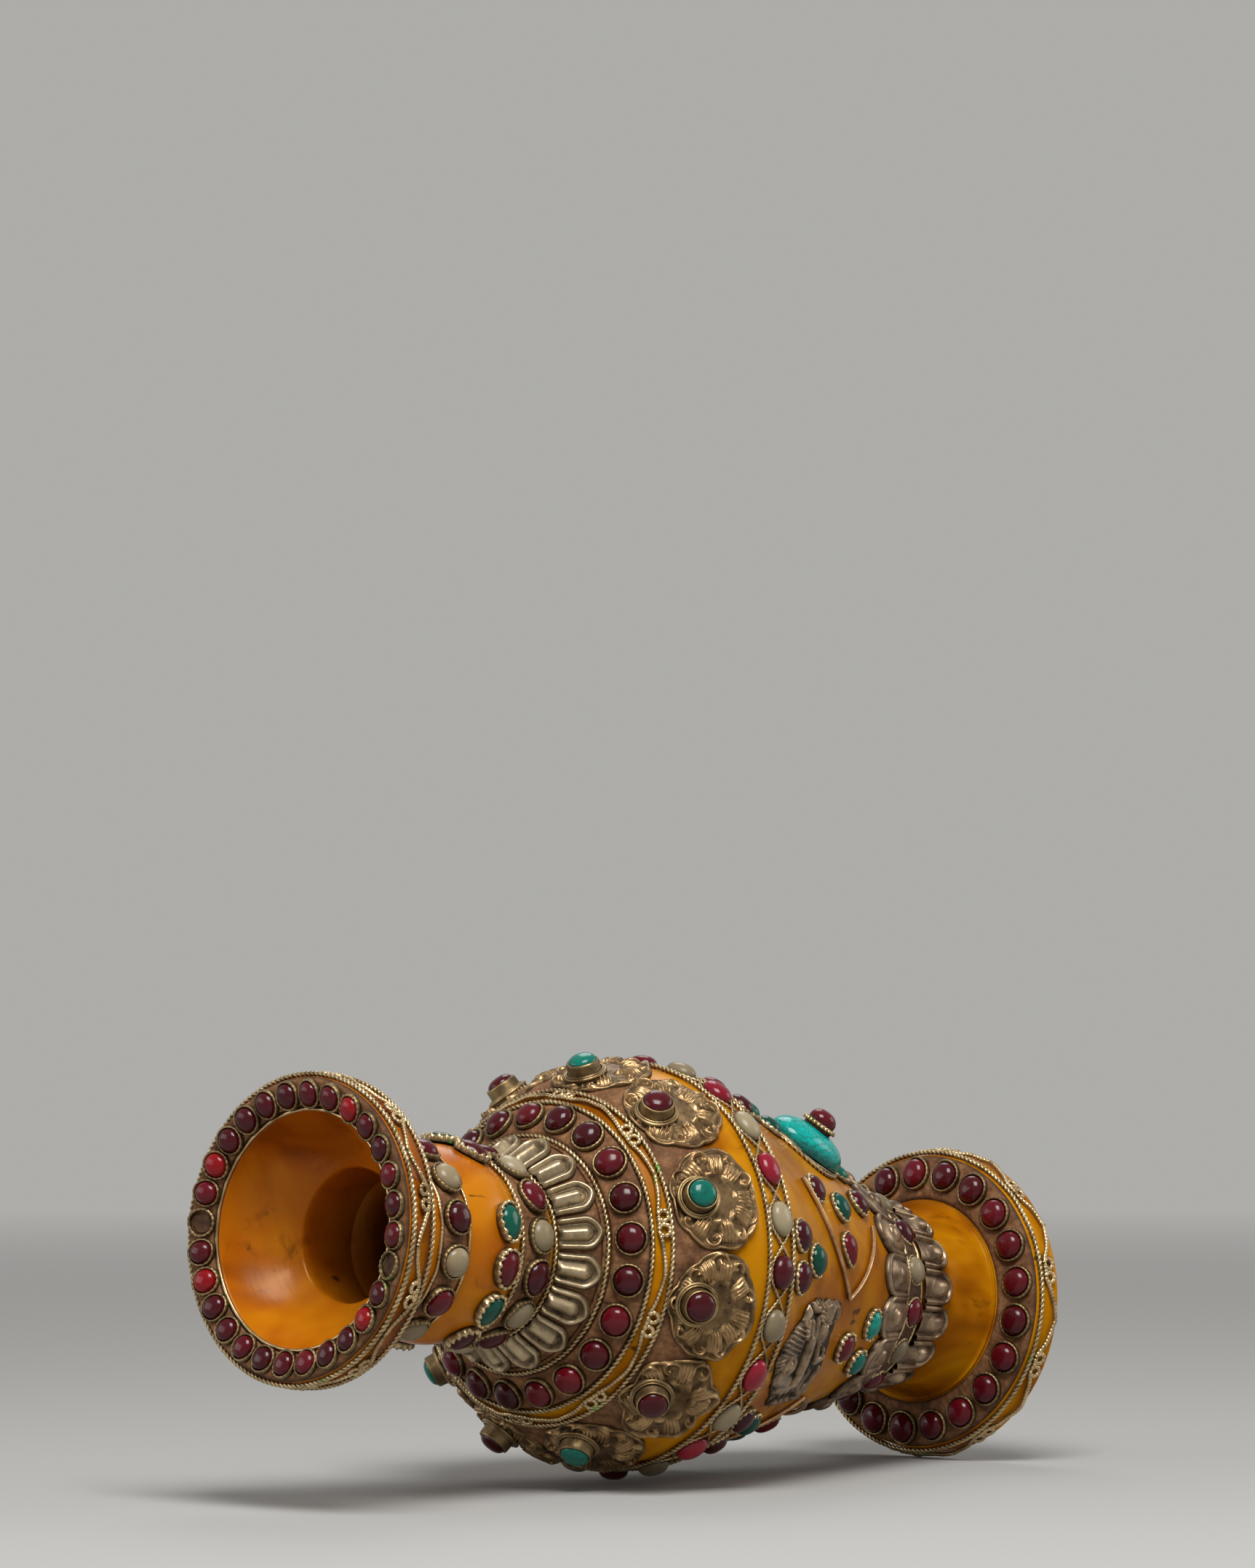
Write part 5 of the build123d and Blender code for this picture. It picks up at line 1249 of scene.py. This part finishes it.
# Two ends, half width and height: band, necks, body, forelegs, ribs of the wing, legs and tail
CREATURE_BARS = (
    (1.0, -16.6, 1.0, -10.4, 0.9, 1.5), (2.6, -10.2, 1.0, -5.0, 1.6, 0.9), (9.9, -9.6, 7.8, -6.0, 1.4, 1.5),
    (6.6, -9.8, 4.8, -6.4, 1.1, 1.3), (3.2, -3.4, 1.4, 8.6, 2.7, 1.7), (-1.6, -4.0, -5.0, 2.6, 1.0, 1.4),
    (-5.0, 2.6, -9.6, 1.6, 1.2, 1.3), (-7.6, -1.0, -8.6, 2.0, 0.9, 1.1), (15.0, 6.2, 7.0, 8.2, 2.4, 1.3),
    (10.0, 10.4, 3.0, 10.6, 1.7, 1.1), (-11.2, 6.4, -9.8, 10.6, 1.7, 1.1), (-4.2, 6.4, -3.2, 12.0, 1.6, 1.0),
    (-11.4, 17.4, 5.0, 16.2, 1.5, 1.0))
# Middle, radius, width and height (below 0 for a groove): rosette, eye, nostril, ear and haunch
CREATURE_RINGS = (
    (12.0, 2.4, 2.5, 0.45, 0.5), (12.0, 2.4, 0.0, 0.9, 0.7), (12.0, 2.4, 1.45, 0.4, -0.6),
    (5.3, -14.8, 1.6, 0.45, 1.3), (5.3, -14.8, 0.9, 0.35, -0.9), (3.4, -12.6, 0.0, 1.1, -2.4),
    (-6.8, -11.4, 2.4, 0.5, 0.5), (-6.8, -11.4, 0.0, 1.6, -4.4), (11.8, -12.4, 1.8, 0.45, 0.7),
    (11.8, -12.4, 0.0, 0.9, -1.5), (-8.6, 13.2, 0.0, 1.0, -1.3))


def over_belly(z, azimuth):
    """Maps local points onto the cone and on over the belly above it, bent round the vase."""
    cone = np.linspace(JOINT_1, CONE_TOP, 60)
    line = np.vstack([cone, arc_run(CONE_TOP, BELLY, SHOULDER, 40)])
    travel = path_travel(line)
    run = unit(np.gradient(line, axis=0))
    start, radius = np.interp(z, line[:, 1], travel), np.interp(z, line[:, 1], line[:, 0])

    def to_space(x, y, h):
        x, y, h = local(x, y, h)
        r, height = (np.interp(start + x, travel, line[:, axis]) for axis in (0, 1))
        out_r, out_z = (np.interp(start + x, travel, run[:, axis]) for axis in (1, 0))
        return spun(r + h * out_r, radians(azimuth) - y / radius, height - h * out_z)
    return to_space


def creature_detail(x, y):
    """Relief of the pressed figure: its rounded parts, then ribs and beads, rings and grooves."""
    def mound(cx, cy, rx, ry, height):
        return height * rounded(((x - cx) / rx) ** 2 + ((y - cy) / ry) ** 2, 1.5)

    def ring(cx, cy, radius, width, height):
        return height * np.exp(-((np.hypot(x - cx, (y - cy) * 0.85) - radius) / width) ** 2)

    def bar(x1, y1, x2, y2, width, height):
        t = np.clip(((x - x1) * (x2 - x1) + (y - y1) * (y2 - y1)) / ((x2 - x1) ** 2 + (y2 - y1) ** 2), 0, 1)
        away = np.hypot(x - x1 - t * (x2 - x1), y - y1 - t * (y2 - y1)) / width
        return height * rounded(away, 2.4)

    def patch(x1, x2, y1, y2, soft=0.6):
        """A window with soft edges."""
        inside = 1.0
        for depth in (x - x1, x2 - x, y - y1, y2 - y):
            inside = inside * np.clip(0.5 + depth / (2 * soft), 0, 1)
        return inside

    h = np.maximum.reduce([mound(*row) for row in CREATURE_MOUNDS] + [bar(*row) for row in CREATURE_BARS])
    h = h + 0.45 * np.cos(2 * pi * (y + 0.2 * x) / 1.35) * patch(8.6, 20.5, -8.6, -0.6)
    h = h + 0.40 * np.cos(2 * pi * (y - 0.15 * x) / 1.2) * patch(15.8, 23.0, -0.6, 3.6)
    h = h + 0.45 * np.cos(2 * pi * (x + 0.5 * y) / 2.1) * patch(-7.5, 11.5, -10.6, -8.8, 0.4)
    h = h + 0.45 * np.cos(17 * np.arctan2(y - 6.0, x - 0.5)) * patch(-7.0, 9.5, 11.4, 17.4)
    h = h + 0.35 * np.cos(2 * pi * y / 1.25) * patch(0.2, 1.8, -16.6, -10.0, 0.3)
    h = h + 0.25 * np.cos(2.6 * x) * np.cos(2.6 * y) * patch(-5.0, -0.6, -9.4, -3.4)
    h = h + sum(ring(*row) for row in CREATURE_RINGS)
    groove = bar(2.9, -1.6, 1.6, 6.8, 1.6, 1.0)
    return h - 0.35 * np.exp(-((groove - 0.3) / 0.25) ** 2)


def make_creatures():
    """Pressed winged creatures that lie round the cone, with the head towards rising azimuth."""
    mesher = Mesher()
    points = np.array(CREATURE_EDGE) - CREATURE_MIDDLE
    turns, reach = np.arctan2(points[:, 1], points[:, 0]), np.hypot(points[:, 0], points[:, 1])
    order = np.argsort(turns)

    def edge(a):
        radius = np.interp(a, turns[order], reach[order], period=2 * pi)
        radius = radius * (1 + 0.010 * np.sin(23 * a) + 0.008 * np.sin(41 * a + 1))
        return radius * np.cos(a), radius * np.sin(a)

    def detail(share, a):
        px, py = edge(a)
        return creature_detail(share * px + CREATURE_MIDDLE[0], share * py + CREATURE_MIDDLE[1])

    def surface(share, a):
        plate = 0.5 + 0.5 * np.clip(1 - share ** 4, 0, 1)
        return plate + 0.85 * detail(share, a) * np.clip((1.02 - share) * 9, 0, 1)

    # Painted shade: pits, grooves and low places of the figure are darkened.
    def grime(share, a):
        return np.clip(0.88 - 0.70 * detail(share, a), 0, 1)
    for azimuth in CREATURES:
        place = shifted(over_belly(CREATURE_Z, azimuth), *CREATURE_MIDDLE, GAP)
        polar_relief(mesher, place, edge, surface, 420, 120, grime_and_shade_at=grime)
    mesher.piece("winged_creatures", DARK_PEWTER, "creature_appliques")


# ---------------------------------------------------------------- camera, floor and light, in metres
LEAN, ROLL, LENS = radians(47.546), radians(11.163), 187.83
FOOT_FROM_LENS = np.array([93.438, 155.579, 1963.119]) * MM
FLOOR_PITCH, FLOOR_REACH = radians(-1.6), 2.2
FLOOR_MIDDLE_Z, LIT_MIDDLE_Z = 0.13, 0.14
PALE = (0.42, 0.415, 0.40, 1.0)
FILL, FILL_POWER = (1, 0.99, 0.97, 1), 0.26
# Each lamp's way from the vase (right, down, ahead), distance, size and power
LAMPS = (("key_softbox", (0.06, -0.82, -0.52), 1.15, (0.55, 0.55), 13.5),
         ("left_reflector", (-0.93, -0.28, -0.2), 1.2, (0.5, 0.9), 2.6),
         ("right_reflector", (0.9, -0.35, 0.25), 1.2, (0.5, 0.7), 2.4),
         ("far_softbox", (0.0, -0.75, 0.66), 1.3, (0.7, 0.5), 3.0))


def camera_axes():
    """The lens's right, down and forward in the vase's frame, one to a column."""
    up_vase = np.array([-cos(LEAN) * cos(ROLL), -cos(LEAN) * sin(ROLL), -sin(LEAN)])
    side = np.array([sin(ROLL), -cos(ROLL), 0.0])
    return np.array([side, np.cross(up_vase, side), up_vase])


def stand(thing, right, up, back, place):
    """Gives a camera or lamp its axes and its place; it looks away from back."""
    matrix = np.eye(4)
    matrix[:3] = np.column_stack([right, up, back, place])
    thing.matrix_world = Matrix(matrix.tolist())


def make_camera(axes):
    data = bpy.data.cameras.new("camera")
    data.sensor_fit = "HORIZONTAL"
    data.sensor_width = 36.0
    data.lens = LENS
    data.clip_start, data.clip_end = 0.05, 50.0
    camera = add_thing("camera", data)
    right, down, forward = axes.T
    stand(camera, right, -down, -forward, -axes @ FOOT_FROM_LENS)
    bpy.context.scene.camera = camera


def make_floor(normal, axes):
    """A pale floor under the lying vase, see-through from below and fading into the backdrop at its edge."""
    lowest = 1e9
    for thing in bpy.context.scene.objects:
        if thing.type == "MESH" and not thing.hide_render:
            co = np.empty(len(thing.data.vertices) * 3, np.float32)
            thing.data.vertices.foreach_get("co", co)
            lowest = min(lowest, float((co.reshape(-1, 3) @ normal).min()))
    centre = np.array([0, 0, FLOOR_MIDDLE_Z])
    centre = centre + (lowest - centre @ normal) * normal
    right = unit(axes[:, 0] - (axes[:, 0] @ normal) * normal)
    ahead = np.cross(normal, right)
    square = ((-1, -1), (1, -1), (1, 1), (-1, 1))
    corners = [tuple(centre + FLOOR_REACH * (x * right + y * ahead)) for x, y in square]
    mesh = bpy.data.meshes.new("floor")
    mesh.from_pydata(corners, [], [(0, 1, 2, 3)])
    n = Paint("pale_floor")
    distance = n.node("ShaderNodeVectorMath", {0: n.position, 1: tuple(centre)}, operation="DISTANCE")
    fade = n.levels(distance.outputs["Value"], 0.5, FLOOR_REACH * 0.95, 1.0, 0.0)
    front = n.math("SUBTRACT", 1.0, n.node("ShaderNodeNewGeometry").outputs["Backfacing"])
    clear = n.node("ShaderNodeBsdfTransparent").outputs[0]
    faded = n.blend(n.scale(fade, front), clear, n.shader.outputs[0])
    feed(n.tree.nodes["Material Output"].inputs["Surface"], faded)
    n.set(Base_Color=PALE, Roughness=0.85, Specular_IOR_Level=0.1)
    mesh.materials.append(n.material)
    floor = add_thing("floor", mesh)


def make_light(axes):
    """A soft key above and in front, weaker lamps round it and an even dim fill."""
    centre = np.array([0, 0, LIT_MIDDLE_Z])
    for name, way, distance, size, power in LAMPS:
        data = bpy.data.lights.new(name, "AREA")
        data.shape = "RECTANGLE"
        data.size, data.size_y = size
        data.energy = power
        back = axes @ unit(np.array(way))
        right = unit(np.cross(axes[:, 2] if abs(way[2]) < 0.5 else axes[:, 0], back))
        stand(add_thing(name, data), right, np.cross(back, right), back, centre + distance * back)
    world = bpy.data.worlds.new("studio")
    bpy.context.scene.world = world
    n = Nodes(world)
    n.tree.nodes.clear()
    fill = n.node("ShaderNodeBackground", {"Color": FILL, "Strength": FILL_POWER}).outputs[0]
    shown = n.node("ShaderNodeBackground", {"Color": PALE}).outputs[0]
    ray = n.node("ShaderNodeLightPath").outputs
    seen = n.math("MAXIMUM", ray["Is Camera Ray"], ray["Is Transmission Ray"])
    seen = n.math("MAXIMUM", seen, ray["Is Glossy Ray"])
    n.node("ShaderNodeOutputWorld", {"Surface": n.blend(seen, fill, shown)})


make_amber()
make_paste()
make_wires()
make_petals()
make_medallions()
make_mouth_stones()
make_ring_stones()
make_cone_stones()
make_domes()
make_v_wires()
make_creatures()

bpy.context.view_layer.update()
axes = camera_axes()
floor_normal = axes @ np.array([0.0, -cos(FLOOR_PITCH), -sin(FLOOR_PITCH)])
make_camera(axes)
make_floor(floor_normal, axes)
make_light(axes)
bpy.context.scene.view_settings.view_transform = "Standard"
